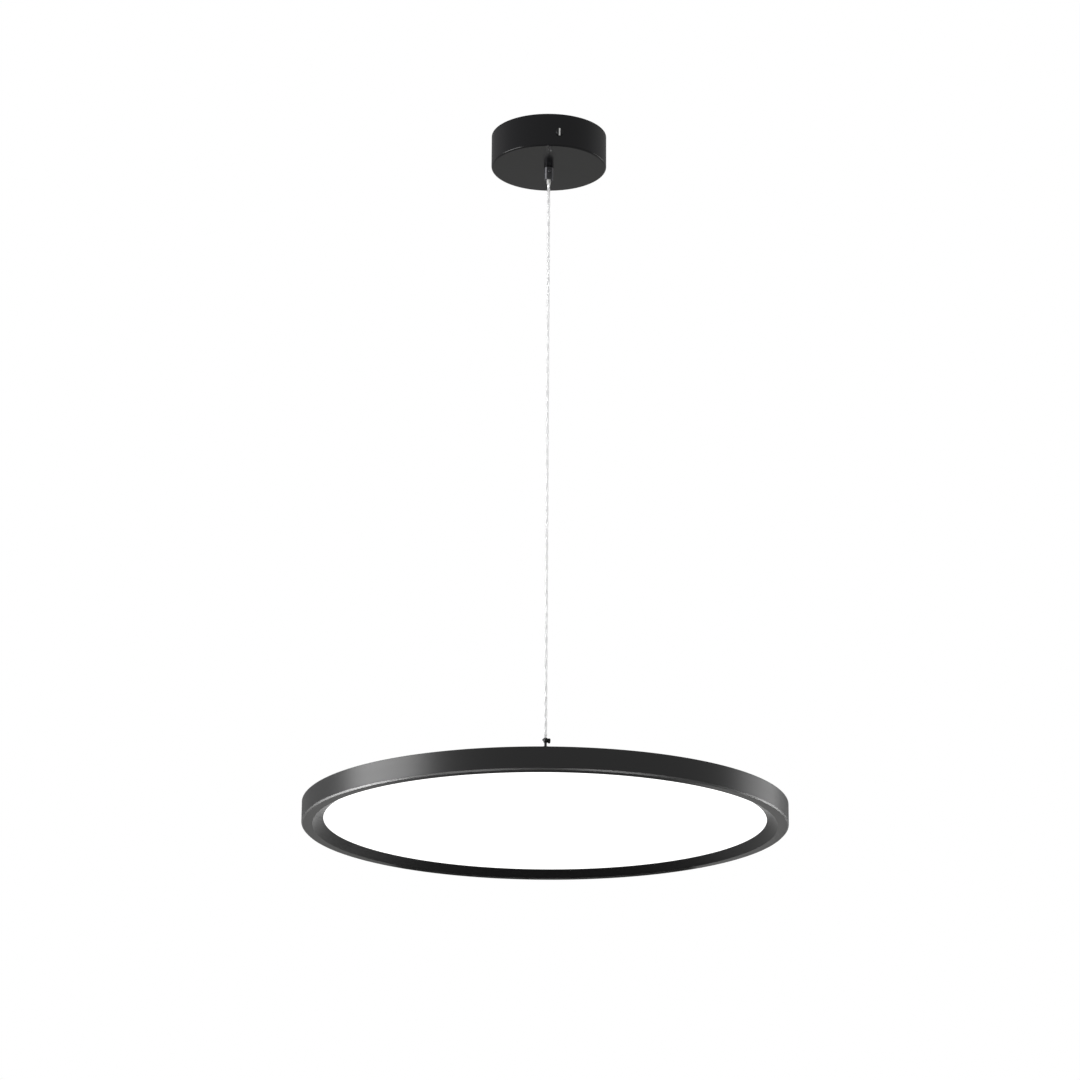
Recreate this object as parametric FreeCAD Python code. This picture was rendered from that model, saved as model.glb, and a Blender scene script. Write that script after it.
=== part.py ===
import FreeCAD, Part
import math
import os

# Disc pendant light: a round ceiling canopy, one cord, and a flat edge-lit disc on a short stem.
# Millimetres. The origin is the centre of the ceiling plane, +Z is up and the lamp hangs below it.
# The two canopy screws, the two ceiling slots and the canopy's ears lie along Y.

V = FreeCAD.Vector
UP = V(0, 0, 1)

# Overall sizes, read from the photograph
disc_diameter = 500.0
canopy_diameter = 125.0
canopy_height = 37.0
drop = 735.0  # canopy underside to disc underside
cord_diameter = 3.2

# How far the cord swings each way at the grip, in degrees
swing_angle = 20.0

# Straight break on the edge of every pan-head screw
pan_head_break = 0.7

# Clearances: parts that move on each other, parts that only lie in each other, and screws in holes
running_gap = 0.08
swing_gap = 0.3
laid_gap = 0.05
hole_gap = 0.1

# Frame ring: a rolled extrusion with an outer wall, a lip, a reveal and a screw channel
ring_wall = 2.0
ring_bevel = 1.6
lip_width = 9.6
lip_thickness = 1.6
reveal_width = 11.2
reveal_rise = 7.2
reveal_edge = 0.6
skirt_thickness = 1.4
shoulder_thickness = 2.0
rim_width = 1.0
rim_break = 0.4

# Optical stack inside the ring
diffuser_thickness = 2.0
guide_thickness = 3.0
reflector_thickness = 0.5
chamber_height = 7.9  # room above the reflector for the hub, the lead and the foam
optic_gap = 0.3
strip_width = 5.0
strip_thickness = 0.6
chip_length = 3.5
chip_width = 2.8
chip_depth = 0.6
chip_count = 72
foam_margin = 9.0  # from the foam's rim to the ring's skirt
foam_width = 55.0
foam_slot = 6.0
connector_length = 8.0
connector_depth = 4.0
connector_height = 4.0
connector_gap = 0.2

# Back plate and its screws
plate_thickness = 1.2
plate_gap = 0.3
plate_inset = 1.2  # rim to plate, which hides the screw heads
plate_screw_count = 8
plate_screw_diameter = 2.5
plate_screw_head = 4.5
plate_screw_head_height = 1.6
plate_screw_length = 6.0

# Hub and stem
hub_diameter = 100.0
hub_thickness = 3.0
hub_screw_count = 4
hub_screw_circle = 76.0
hub_screw_diameter = 3.0
hub_screw_head = 5.5
hub_screw_head_height = 2.0
stem_rise = 55.0  # rim to the underside of the swivel
stem_wall = 1.2
stem_head = 7.0
stem_head_height = 1.6
stem_nut_flats = 9.0
stem_nut_height = 3.2
stem_washer_diameter = 14.0
stem_washer_thickness = 1.0
lead_diameter = 1.6
lead_room = 1.0  # from the lead to the reflector

# Cord clamp and swivel at the top of the stem
neck_wall = 0.55
neck_height = 9.5
neck_break = 0.4
waist_wall = 0.5  # below the cord's socket, round the lead
socket_depth = 4.2
barrel_wall = 1.4
barrel_roof = 2.5
barrel_break = 0.8
swivel_ring_height = 3.8
clamp_screw_diameter = 2.0
clamp_screw_drop = 2.8  # neck top to screw axis
clamp_boss_diameter = 3.6
clamp_boss_reach = 0.2  # past the neck
clamp_tab_diameter = 1.8
clamp_tab_reach = 1.05  # past the neck, on the side away from the screw
clamp_tab_drop = 2.0  # neck top to tab axis
clamp_head_diameter = 5.2
clamp_head_length = 2.4
clamp_head_break = 0.3

# Cord grip under the canopy, with its bell mouth and clear bend-relief sleeve
grip_diameter = 10.0
grip_height = 14.0
grip_break = 0.9
grip_thread_diameter = 8.0
grip_thread_spare = 1.0
grip_bore_gap = 0.25
grip_washer_diameter = 16.0
grip_washer_thickness = 1.0
grip_nut_flats = 13.0
grip_nut_height = 4.0
pivot_inset = 3.0  # cord's bending point above the grip's mouth
set_screw_diameter = 3.0
set_screw_drop = 4.5  # canopy underside to screw axis
set_screw_recess = 0.3
set_screw_key = 1.5
sleeve_wall = 0.5
sleeve_length = 6.0  # below the grip's mouth

# Canopy cover: a spun cup
canopy_wall = 1.2
canopy_round = 2.0
side_screw_diameter = 4.0
side_screw_head = 8.4
side_screw_head_height = 2.6
side_screw_slot = 2.0
side_screw_slot_floor = 0.9  # above the head's seat
side_screw_length = 9.0
side_screw_height = 21.0  # below the ceiling

# Ceiling plate with two bent ears
ceiling_plate_thickness = 1.5
ceiling_plate_gap = 2.3
ear_width = 14.0
ear_length = 27.5
ear_gap = 0.2
slot_spacing = 70.0
slot_length = 18.0
slot_width = 5.2
mains_hole_diameter = 20.0

# LED driver, terminal block and their wiring
driver_inset = 12.0  # driver's inner face from the axis
driver_width = 32.0
driver_height = 20.0
driver_round = 2.0
driver_seam = 0.4
driver_seam_drop = 6.0
driver_lug_width = 9.0
driver_lug_length = 7.0
driver_lug_thickness = 3.0
small_screw_diameter = 3.0
small_screw_head = 5.5
small_screw_head_height = 2.0
canopy_clearance = 2.0  # fittings to the canopy wall
block_depth = 20.0
block_width = 28.0
block_height = 14.0
block_pole_pitch = 9.0
block_barrier = 1.6
block_step = 3.0
block_screw_diameter = 3.4
block_screw_depth = 5.0
wire_diameter = 2.4
wire_bend = 7.0
wire_drop = 8.0  # below the ceiling plate
wire_step = 4.0  # between the two supply wires
entry_offset = 22.0  # along the driver, from its middle to each entry
tail_bend = 9.0
tail_rise = 4.0  # above the driver's underside
earth_offset = 18.0
earth_tag_width = 8.0
earth_tag_thickness = 0.8
earth_barrel = 3.2

# Radii of the frame ring, from the outside in
ring_radius = disc_diameter / 2
wall_inner = ring_radius - ring_wall
channel_width = plate_screw_diameter + 2 * laid_gap
channel_inner = wall_inner - channel_width
skirt_inner = channel_inner - skirt_thickness
channel_middle = (wall_inner + channel_inner) / 2
rebate_radius = ring_radius - rim_width
plate_radius = rebate_radius - plate_gap
lip_outer = ring_radius - ring_bevel
lip_inner = lip_outer - lip_width
reveal_inner = lip_inner - reveal_width
strip_inner = skirt_inner - strip_thickness
chip_inner = strip_inner - chip_depth
guide_radius = chip_inner - optic_gap
diffuser_radius = strip_inner - optic_gap
connector_inner = skirt_inner - connector_depth

# Heights of the disc, from its underside up
disc_underside = -canopy_height - drop
diffuser_underside = disc_underside + reveal_rise
guide_underside = diffuser_underside + diffuser_thickness
reflector_underside = guide_underside + guide_thickness
foam_underside = reflector_underside + reflector_thickness
plate_underside = foam_underside + chamber_height
plate_top = plate_underside + plate_thickness
disc_top = plate_top + plate_inset
hub_underside = plate_underside - hub_thickness
shoulder_underside = plate_underside - shoulder_thickness
strip_middle = guide_underside + guide_thickness / 2
strip_underside = strip_middle - strip_width / 2
strip_top = strip_middle + strip_width / 2
lead_height = foam_underside + lead_room + lead_diameter / 2
lead_bend = hub_underside - lead_height - laid_gap

# Heights of the stem, the swivel and the clamp
stem_bore = lead_diameter + 2 * hole_gap
stem_radius = stem_bore / 2 + stem_wall
swivel_underside = disc_top + stem_rise
head_underside = swivel_underside + swivel_ring_height + running_gap
head_top = head_underside + stem_head_height
roof_underside = head_top + running_gap
neck_underside = roof_underside + barrel_roof
clamp_top = neck_underside + neck_height
clamp_screw_height = clamp_top - clamp_screw_drop
cord_radius = cord_diameter / 2
socket_radius = cord_radius + hole_gap
neck_radius = socket_radius + neck_wall
waist_radius = stem_bore / 2 + waist_wall
cup_underside = clamp_top - socket_depth
waist_top = cup_underside - (neck_radius - waist_radius)
swivel_bore = stem_radius + running_gap
barrel_bore = stem_head / 2 + running_gap
barrel_radius = barrel_bore + barrel_wall
clamp_boss_end = neck_radius + clamp_boss_reach

# Heights of the grip and of the cord's two bending points
canopy_radius = canopy_diameter / 2
canopy_bore = canopy_radius - canopy_wall
canopy_floor = -canopy_height + canopy_wall
grip_mouth = -canopy_height - grip_height
upper_pivot = grip_mouth + pivot_inset
lower_pivot = grip_mouth - sleeve_length
grip_nut_underside = canopy_floor + grip_washer_thickness
grip_thread_top = grip_nut_underside + grip_nut_height + grip_thread_spare
grip_bore = cord_radius + grip_bore_gap
sleeve_radius = cord_radius + laid_gap + sleeve_wall
swing = math.radians(swing_angle)
bell_throat = sleeve_radius / math.cos(swing) + swing_gap
bell_mouth = bell_throat + pivot_inset * math.tan(swing)
tail_foot = upper_pivot + sleeve_radius + swing_gap
sleeve_foot = lower_pivot + cord_radius + swing_gap
cord_foot = cup_underside + swing_gap

# Places inside the canopy
ceiling_underside = -ceiling_plate_thickness
ceiling_plate_radius = canopy_bore - ceiling_plate_gap
ear_outer = math.sqrt(canopy_bore ** 2 - (ear_width / 2) ** 2) - ear_gap
fitting_radius = canopy_bore - canopy_clearance
driver_outer = driver_inset + driver_width
driver_middle = driver_inset + driver_width / 2
driver_length = 2 * math.sqrt(fitting_radius ** 2 - driver_outer ** 2)
driver_underside = ceiling_underside - driver_height
driver_lug_x = driver_inset + driver_lug_width / 2
block_outer = -math.sqrt(fitting_radius ** 2 - (block_width / 2) ** 2)
block_inner = block_outer + block_depth
block_middle = block_outer + block_depth / 2
block_underside = ceiling_underside - block_height
wire_height = ceiling_underside - wire_drop
tail_height = driver_underside + tail_rise
earth_y = math.sqrt((ceiling_plate_radius - earth_tag_width) ** 2 - earth_offset ** 2)


def rounded_edges(points, rounds, closed):
    """Straight edges through the points, with a tangent arc at each corner that has a round."""
    count = len(points)
    arrivals = list(points)
    departures = list(points)
    arcs = {}
    for index, radius in enumerate(rounds):
        if radius == 0:
            continue
        corner = points[index]
        back = (points[index - 1] - corner).normalize()
        ahead = (points[(index + 1) % count] - corner).normalize()
        half = back.getAngle(ahead) / 2
        inward = (back + ahead).normalize()
        arrivals[index] = corner + back * (radius / math.tan(half))
        departures[index] = corner + ahead * (radius / math.tan(half))
        middle = corner + inward * (radius / math.sin(half) - radius)
        arcs[index] = Part.Arc(arrivals[index], middle, departures[index]).toShape()
    edges = []
    for index in range(count):
        if index in arcs:
            edges.append(arcs[index])
        following = (index + 1) % count
        if following == 0 and not closed:
            break
        if departures[index].distanceToPoint(arrivals[following]) > 1e-6:
            edges.append(Part.makeLine(departures[index], arrivals[following]))
    return edges


def turned(profile):
    """Solid turned about Z from its half section, given as (radius, height[, corner round])."""
    points = [V(corner[0], 0, corner[1]) for corner in profile]
    rounds = [corner[2] if len(corner) > 2 else 0 for corner in profile]
    face = Part.Face(Part.Wire(rounded_edges(points, rounds, True)))
    return face.revolve(V(), UP, 360)


def drum(radius, low, high, bore=0.0):
    """Round plate or bush about Z between two heights, with an optional bore."""
    return turned([(bore, low), (radius, low), (radius, high), (bore, high)])


def block(x_low, x_high, y_low, y_high, z_low, z_high):
    """Box between two corners."""
    return Part.makeBox(x_high - x_low, y_high - y_low, z_high - z_low, V(x_low, y_low, z_low))


def rod(radius, start, end):
    """Round rod from one point to another."""
    return Part.makeCylinder(radius, (end - start).Length, start, end - start)


def bent_rod(points, radius, bend):
    """Wire or cord of round section along straight runs with one bend radius at every corner."""
    rounds = [0] + [bend] * (len(points) - 2) + [0]
    path = Part.Wire(rounded_edges(points, rounds, False))
    section = Part.Wire(Part.makeCircle(radius, points[0], points[1] - points[0]))
    wire = path.makePipeShell([section], True, False)
    expected = math.pi * radius ** 2 * path.Length
    print(f"wire of {path.Length:.1f} mm, bends of {bend:.1f} mm, volume ratio {wire.Volume / expected:.4f}")
    return wire


def hexagon(flats, low, high, bore):
    """Hexagonal nut about Z with chamfered corners at both ends and a plain bore."""
    corner_radius = flats / math.sqrt(3)
    corners = [V(corner_radius, 0, low)]
    for step in range(1, 7):
        turn = math.radians(60 * step)
        corners.append(V(corner_radius * math.cos(turn), corner_radius * math.sin(turn), low))
    prism = Part.Face(Part.makePolygon(corners)).extrude(V(0, 0, high - low))
    lost = corner_radius - flats / 2
    outline = turned([
        (bore, low), (flats / 2, low), (corner_radius, low + lost / 2),
        (corner_radius, high - lost / 2), (flats / 2, high), (bore, high),
    ])
    return prism.common(outline)


def pan_screw(diameter, head, head_height, length):
    """Pan-head screw, head up, with its head's seat at the origin and a driver recess."""
    profile = [
        (0, -length), (diameter / 2, -length), (diameter / 2, 0), (head / 2, 0),
        (head / 2, head_height - pan_head_break), (head / 2 - pan_head_break, head_height), (0, head_height),
    ]
    recess = drum(head / 6, head_height / 2, head_height)
    return turned(profile).cut(recess)


def group(solids):
    """Separate solids that share one node."""
    return Part.makeCompound(solids)


def around(shape, count, start=0.0):
    """Copies of a shape evenly spaced about Z."""
    copies = []
    for index in range(count):
        copy = shape.copy()
        copy.rotate(V(), UP, start + 360.0 * index / count)
        copies.append(copy)
    return copies


def holes_cut(shape, cutters):
    """Shape with all the cutters taken out of it."""
    return shape.cut(group(cutters)) if len(cutters) > 1 else shape.cut(cutters[0])


def moved(shape, x, y, z):
    """Copy of a shape at another place."""
    copy = shape.copy()
    copy.translate(V(x, y, z))
    return copy


# Frame ring and back of the disc

plate_screw_turn = 180.0 / plate_screw_count
plate_screw_hole = plate_screw_diameter / 2 + hole_gap
hub_screw_hole = hub_screw_diameter / 2 + hole_gap
hub_screw_turn = 180.0 / hub_screw_count


def frame_ring():
    """Ring of one profile: bevelled wall, flat lip, sloping reveal, screw channel and rebate."""
    base = disc_underside
    slope = math.atan2(reveal_rise - reveal_edge, reveal_width)
    lift = lip_thickness / math.cos(slope)
    rise = math.tan(slope)
    ledge_outer = lip_inner - (reveal_rise - lift) / rise
    floor_inner = lip_inner - (lip_thickness - lift) / rise
    skirt_foot = strip_underside - laid_gap
    profile = [
        (lip_inner, base), (lip_outer, base), (ring_radius, base + ring_bevel),
        (ring_radius, disc_top - rim_break), (ring_radius - rim_break, disc_top),
        (rebate_radius, disc_top), (rebate_radius, plate_underside),
        (skirt_inner, plate_underside), (skirt_inner, skirt_foot), (channel_inner, skirt_foot),
        (channel_inner, shoulder_underside), (wall_inner, shoulder_underside),
        (wall_inner, base + lip_thickness), (floor_inner, base + lip_thickness),
        (ledge_outer, diffuser_underside), (reveal_inner, diffuser_underside),
        (reveal_inner, diffuser_underside - reveal_edge),
    ]
    hole = rod(plate_screw_hole, V(channel_middle, 0, shoulder_underside - 1), V(channel_middle, 0, disc_top))
    return holes_cut(turned(profile), around(hole, plate_screw_count, plate_screw_turn))


def back_plate():
    """Flat round sheet at the foot of the ring's rebate, drilled for the rim screws and the hub."""
    sheet = drum(plate_radius, plate_underside, plate_top, stem_radius + hole_gap)
    low = V(channel_middle, 0, plate_underside - 1)
    rim_hole = rod(plate_screw_hole, low, V(channel_middle, 0, disc_top + 1))
    hub_low = V(hub_screw_circle / 2, 0, plate_underside - 1)
    hub_hole = rod(hub_screw_hole, hub_low, V(hub_screw_circle / 2, 0, disc_top + 1))
    sheet = holes_cut(sheet, around(rim_hole, plate_screw_count, plate_screw_turn))
    return holes_cut(sheet, around(hub_hole, hub_screw_count, hub_screw_turn))


def back_plate_screws():
    """Screws through the plate's rim into the ring's channel."""
    screw = pan_screw(plate_screw_diameter, plate_screw_head, plate_screw_head_height, plate_screw_length)
    screw = moved(screw, channel_middle, 0, plate_top)
    return group(around(screw, plate_screw_count, plate_screw_turn))


def hub_plate():
    """Stiffening disc under the back plate, tapped for the stem and for its own screws."""
    disc = drum(hub_diameter / 2, hub_underside, plate_underside, stem_radius + laid_gap)
    low = V(hub_screw_circle / 2, 0, hub_underside - 1)
    hole = rod(hub_screw_hole, low, V(hub_screw_circle / 2, 0, plate_underside + 1))
    return holes_cut(disc, around(hole, hub_screw_count, hub_screw_turn))


def hub_screws():
    """Screws that hold the back plate to the hub plate."""
    length = plate_thickness + hub_thickness
    screw = pan_screw(hub_screw_diameter, hub_screw_head, hub_screw_head_height, length)
    screw = moved(screw, hub_screw_circle / 2, 0, plate_top)
    return group(around(screw, hub_screw_count, hub_screw_turn))


# Optical stack

def diffuser():
    """Opal sheet that lies on the ring's ledge."""
    return drum(diffuser_radius, diffuser_underside, guide_underside)


def light_guide():
    """Clear acrylic disc lit from its edge."""
    return drum(guide_radius, guide_underside, reflector_underside)


def reflector_sheet():
    """White sheet on the back of the light guide."""
    return drum(guide_radius, reflector_underside, foam_underside)


def foam_pad():
    """Foam washer that presses the stack down on the ledge, slotted for the lead."""
    rim = skirt_inner - foam_margin
    pad = drum(rim, foam_underside, plate_underside, rim - foam_width)
    slot = block(0, skirt_inner, -foam_slot / 2, foam_slot / 2, foam_underside, plate_underside)
    return pad.cut(slot)


def led_strip():
    """Flexible circuit stuck round the inside of the skirt."""
    return drum(skirt_inner, strip_underside, strip_top, strip_inner)


def led_chips():
    """Row of emitters on the strip, facing the light guide's edge."""
    half = chip_length / 2
    seat = math.sqrt(strip_inner ** 2 - half ** 2) - laid_gap / 10
    low = strip_middle - chip_width / 2
    chip = block(seat - chip_depth, seat, -half, half, low, low + chip_width)
    return group(around(chip, chip_count, 180.0 / chip_count))


def strip_connector():
    """Plug-in connector above the strip, where the lead ends."""
    half = connector_length / 2
    seat = math.sqrt(skirt_inner ** 2 - half ** 2) - connector_gap
    return block(connector_inner, seat, -half, half, strip_top + laid_gap, strip_top + connector_height)


def lamp_lead():
    """Two-core lead down the stem and out to the strip's connector."""
    end = V(connector_inner - laid_gap, 0, lead_height)
    points = [V(0, 0, head_top), V(0, 0, lead_height), end]
    return bent_rod(points, lead_diameter / 2, lead_bend)


# Stem, swivel and cord clamp

def stem_tube():
    """Slim tube with a turned head, which hangs in the swivel."""
    return turned([
        (stem_bore / 2, hub_underside), (stem_radius, hub_underside), (stem_radius, head_underside),
        (stem_head / 2, head_underside), (stem_head / 2, head_top), (stem_bore / 2, head_top),
    ])


def stem_washer():
    """Washer between the lock nut and the back plate."""
    top = plate_top + stem_washer_thickness
    return drum(stem_washer_diameter / 2, plate_top, top, stem_radius + laid_gap)


def stem_nut():
    """Lock nut on the stem, above the back plate."""
    low = plate_top + stem_washer_thickness
    return hexagon(stem_nut_flats, low, low + stem_nut_height, stem_radius + laid_gap)


def swivel_ring():
    """Ring screwed into the barrel, which carries the stem's head."""
    top = swivel_underside + swivel_ring_height
    return drum(barrel_bore - laid_gap, swivel_underside, top, swivel_bore)


def cord_clamp():
    """Barrel over the stem's head, a waist, and a cup for the cord with a screw boss and a tab."""
    body = turned([
        (stem_bore / 2, roof_underside), (barrel_bore, roof_underside), (barrel_bore, swivel_underside),
        (barrel_radius, swivel_underside), (barrel_radius, neck_underside - barrel_break),
        (barrel_radius - barrel_break, neck_underside), (waist_radius, neck_underside),
        (waist_radius, waist_top), (neck_radius, cup_underside),
        (neck_radius, clamp_top - neck_break), (neck_radius - neck_break, clamp_top), (stem_bore / 2, clamp_top),
    ])
    axis = V(0, 0, clamp_screw_height)
    boss = rod(clamp_boss_diameter / 2, axis, axis + V(clamp_boss_end, 0, 0))
    tab_axis = V(0, 0, clamp_top - clamp_tab_drop)
    tab = rod(clamp_tab_diameter / 2, tab_axis, tab_axis - V(neck_radius + clamp_tab_reach, 0, 0))
    socket = drum(socket_radius, cup_underside, clamp_top)
    screw_hole = rod(clamp_screw_diameter / 2 + laid_gap, axis, axis + V(clamp_boss_end, 0, 0))
    return body.fuse([boss, tab]).cut(socket).cut(screw_hole).removeSplitter()


def clamp_screw():
    """Thumb screw that pinches the cord in the neck."""
    head_low = clamp_boss_end
    head_high = clamp_boss_end + clamp_head_length
    radius = clamp_head_diameter / 2
    shank = clamp_screw_diameter / 2
    screw = turned([
        (0, cord_radius + laid_gap), (shank, cord_radius + laid_gap), (shank, head_low), (radius, head_low),
        (radius, head_high - clamp_head_break), (radius - clamp_head_break, head_high), (0, head_high),
    ])
    screw.rotate(V(), V(0, 1, 0), 90)
    return moved(screw, 0, 0, clamp_screw_height)


# Cord

def pendant_cord():
    """Straight cord from its bending point under the sleeve down into the clamp."""
    return rod(cord_radius, V(0, 0, cord_foot), V(0, 0, lower_pivot)).fuse(
        Part.makeSphere(cord_radius, V(0, 0, lower_pivot))).removeSplitter()


def domed_post(radius):
    """Post from the sleeve's foot to the upper bending point, domed about that point."""
    dome = Part.makeSphere(sleeve_radius, V(0, 0, upper_pivot))
    post = drum(radius, sleeve_foot, upper_pivot + sleeve_radius)
    return post.common(dome.fuse(drum(sleeve_radius, sleeve_foot, upper_pivot)))


def cord_neck():
    """Stretch of the cord inside the sleeve."""
    return domed_post(cord_radius)


def cord_sleeve():
    """Clear bend relief round the cord where it leaves the grip."""
    bore = drum(cord_radius + laid_gap, sleeve_foot, upper_pivot + sleeve_radius)
    return domed_post(sleeve_radius).cut(bore)


def cord_tail():
    """Cord through the grip and across the canopy to the driver's output."""
    points = [
        V(0, 0, tail_foot), V(0, 0, tail_height), V(0, entry_offset, tail_height),
        V(driver_inset - laid_gap, entry_offset, tail_height),
    ]
    bend = min(tail_bend, tail_height - grip_thread_top - laid_gap)
    return bent_rod(points, cord_radius, bend)


# Cord grip

def cord_grip():
    """Turned bush under the canopy: threaded stem, bore, bell mouth and a tapped side hole."""
    body = turned([
        (grip_bore, grip_thread_top), (grip_bore, tail_foot), (bell_throat, tail_foot),
        (bell_throat, upper_pivot), (bell_mouth, grip_mouth),
        (grip_diameter / 2 - grip_break, grip_mouth), (grip_diameter / 2, grip_mouth + grip_break),
        (grip_diameter / 2, -canopy_height),
        (grip_thread_diameter / 2, -canopy_height), (grip_thread_diameter / 2, grip_thread_top),
    ])
    axis = V(0, 0, -canopy_height - set_screw_drop)
    hole = rod(set_screw_diameter / 2 + laid_gap, axis, axis - V(0, grip_diameter, 0))
    return body.cut(hole)


def grip_set_screw():
    """Grub screw that holds the cord in the grip, with a key socket in its end."""
    axis = V(0, 0, -canopy_height - set_screw_drop)
    inner = axis - V(0, cord_radius + laid_gap, 0)
    outer = axis - V(0, grip_diameter / 2 - set_screw_recess, 0)
    key = rod(set_screw_key / 2, (inner + outer) * 0.5, outer)
    return rod(set_screw_diameter / 2, inner, outer).cut(key)


def grip_washer():
    """Washer inside the canopy."""
    bore = grip_thread_diameter / 2 + hole_gap
    return drum(grip_washer_diameter / 2, canopy_floor, grip_nut_underside, bore)


def grip_nut():
    """Nut that clamps the grip to the canopy."""
    bore = grip_thread_diameter / 2 + laid_gap
    return hexagon(grip_nut_flats, grip_nut_underside, grip_nut_underside + grip_nut_height, bore)


# Canopy

def side_hole(radius, inner):
    """Cutters for the two side screws, from an inner distance out through the wall."""
    start = V(0, -inner, -side_screw_height)
    return around(rod(radius, start, start - V(0, canopy_radius, 0)), 2)


def canopy_cover():
    """Spun cup with a rounded lower edge, drilled for the grip and the two side screws."""
    cup = turned([
        (grip_thread_diameter / 2 + hole_gap, -canopy_height), (canopy_radius, -canopy_height, canopy_round),
        (canopy_radius, 0), (canopy_bore, 0),
        (canopy_bore, canopy_floor, max(canopy_round - canopy_wall, laid_gap)),
        (grip_thread_diameter / 2 + hole_gap, canopy_floor),
    ])
    return holes_cut(cup, side_hole(side_screw_diameter / 2 + hole_gap, canopy_bore - canopy_clearance))


def canopy_side_screws():
    """Domed screws with an upright slot, which hold the cup to the plate's ears."""
    screw = turned([
        (0, -side_screw_length), (side_screw_diameter / 2, -side_screw_length), (side_screw_diameter / 2, 0),
        (side_screw_head / 2, 0), (side_screw_head / 2, side_screw_head_height, 0.8 * side_screw_head_height),
        (0, side_screw_head_height),
    ])
    slot = block(-side_screw_slot / 2, side_screw_slot / 2, -side_screw_head, side_screw_head,
                 side_screw_slot_floor, side_screw_head_height)
    screw = screw.cut(slot)
    screw.rotate(V(), V(1, 0, 0), 90)
    return group(around(moved(screw, 0, -canopy_radius, -side_screw_height), 2))


def ceiling_plate():
    """Steel plate against the ceiling: two slots, a mains hole, and an ear at each end of Y."""
    plate = drum(ceiling_plate_radius, ceiling_underside, 0, mains_hole_diameter / 2)
    half = ear_width / 2
    ear_inner = ear_outer - ceiling_plate_thickness
    bridge = block(-half, half, -ear_outer, -ear_inner + ear_width, ceiling_underside, 0)
    ear = bridge.fuse(block(-half, half, -ear_outer, -ear_inner, -ear_length, 0))
    plate = plate.fuse(around(ear, 2)).removeSplitter()
    reach = (slot_length - slot_width) / 2
    slot = block(-slot_width / 2, slot_width / 2, slot_spacing / 2 - reach, slot_spacing / 2 + reach,
                 ceiling_underside, 0)
    for end in (slot_spacing / 2 - reach, slot_spacing / 2 + reach):
        slot = slot.fuse(rod(slot_width / 2, V(0, end, ceiling_underside), V(0, end, 0)))
    plate = holes_cut(plate, around(slot.removeSplitter(), 2))
    plate = holes_cut(plate, side_hole(side_screw_diameter / 2 + laid_gap, ear_inner - ear_width / 2))
    fixings = driver_screw_places() + block_screw_places() + [V(-earth_offset, earth_y, 0)]
    drilled = [rod(small_screw_diameter / 2 + laid_gap, spot + V(0, 0, ceiling_underside), spot)
               for spot in fixings]
    return holes_cut(plate, drilled)


# Driver, terminal block and wiring

def driver_screw_places():
    """Centres of the driver's two fixing screws."""
    reach = driver_length / 2 + driver_lug_length / 2
    return [V(driver_lug_x, reach, 0), V(driver_lug_x, -reach, 0)]


def block_screw_places():
    """Centres of the terminal block's two fixing screws, between its poles."""
    return [V(block_middle, block_pole_pitch / 2, 0), V(block_middle, -block_pole_pitch / 2, 0)]


def ceiling_screw(length):
    """Small pan-head screw, head down, with its head's seat at the origin and its tip up."""
    screw = pan_screw(small_screw_diameter, small_screw_head, small_screw_head_height, length)
    screw.rotate(V(), V(1, 0, 0), 180)
    return screw


def led_driver():
    """Sealed driver case with a seam and a fixing lug at each end."""
    half = driver_length / 2
    case = block(driver_inset, driver_outer, -half, half, driver_underside, ceiling_underside)
    upright = [edge for edge in case.Edges if abs(edge.tangentAt(edge.FirstParameter).z) > 0.5]
    lower = [edge for edge in case.Edges if edge.BoundBox.ZMax < driver_underside + driver_seam]
    case = case.makeFillet(driver_round, upright + lower)
    seam_top = ceiling_underside - driver_seam_drop
    seam = block(driver_inset - 1, driver_outer + 1, -half - 1, half + 1, seam_top - driver_seam, seam_top)
    core = block(driver_inset + driver_seam, driver_outer - driver_seam, -half + driver_seam,
                 half - driver_seam, seam_top - driver_seam, seam_top)
    case = case.cut(seam.cut(core))
    x_low = driver_lug_x - driver_lug_width / 2 + driver_round
    reach = half + driver_lug_length
    lug = block(x_low, driver_lug_x + driver_lug_width / 2, -reach, reach,
                ceiling_underside - driver_lug_thickness, ceiling_underside)
    holes = [rod(small_screw_diameter / 2 + hole_gap, spot + V(0, 0, driver_underside), spot)
             for spot in driver_screw_places()]
    return holes_cut(case.fuse(lug).removeSplitter(), holes)


def driver_screws():
    """Screws through the driver's lugs into the ceiling plate."""
    seat = ceiling_underside - driver_lug_thickness
    screw = ceiling_screw(driver_lug_thickness + ceiling_plate_thickness)
    return group([moved(screw, spot.x, spot.y, seat) for spot in driver_screw_places()])


def pole_screw_places():
    """Centres of the clamping screws: one at each end of every pole."""
    inset = block_depth / 4
    rows = (block_outer + inset, block_inner - inset)
    return [V(x, pole * block_pole_pitch, block_underside) for x in rows for pole in (-1, 0, 1)]


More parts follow.
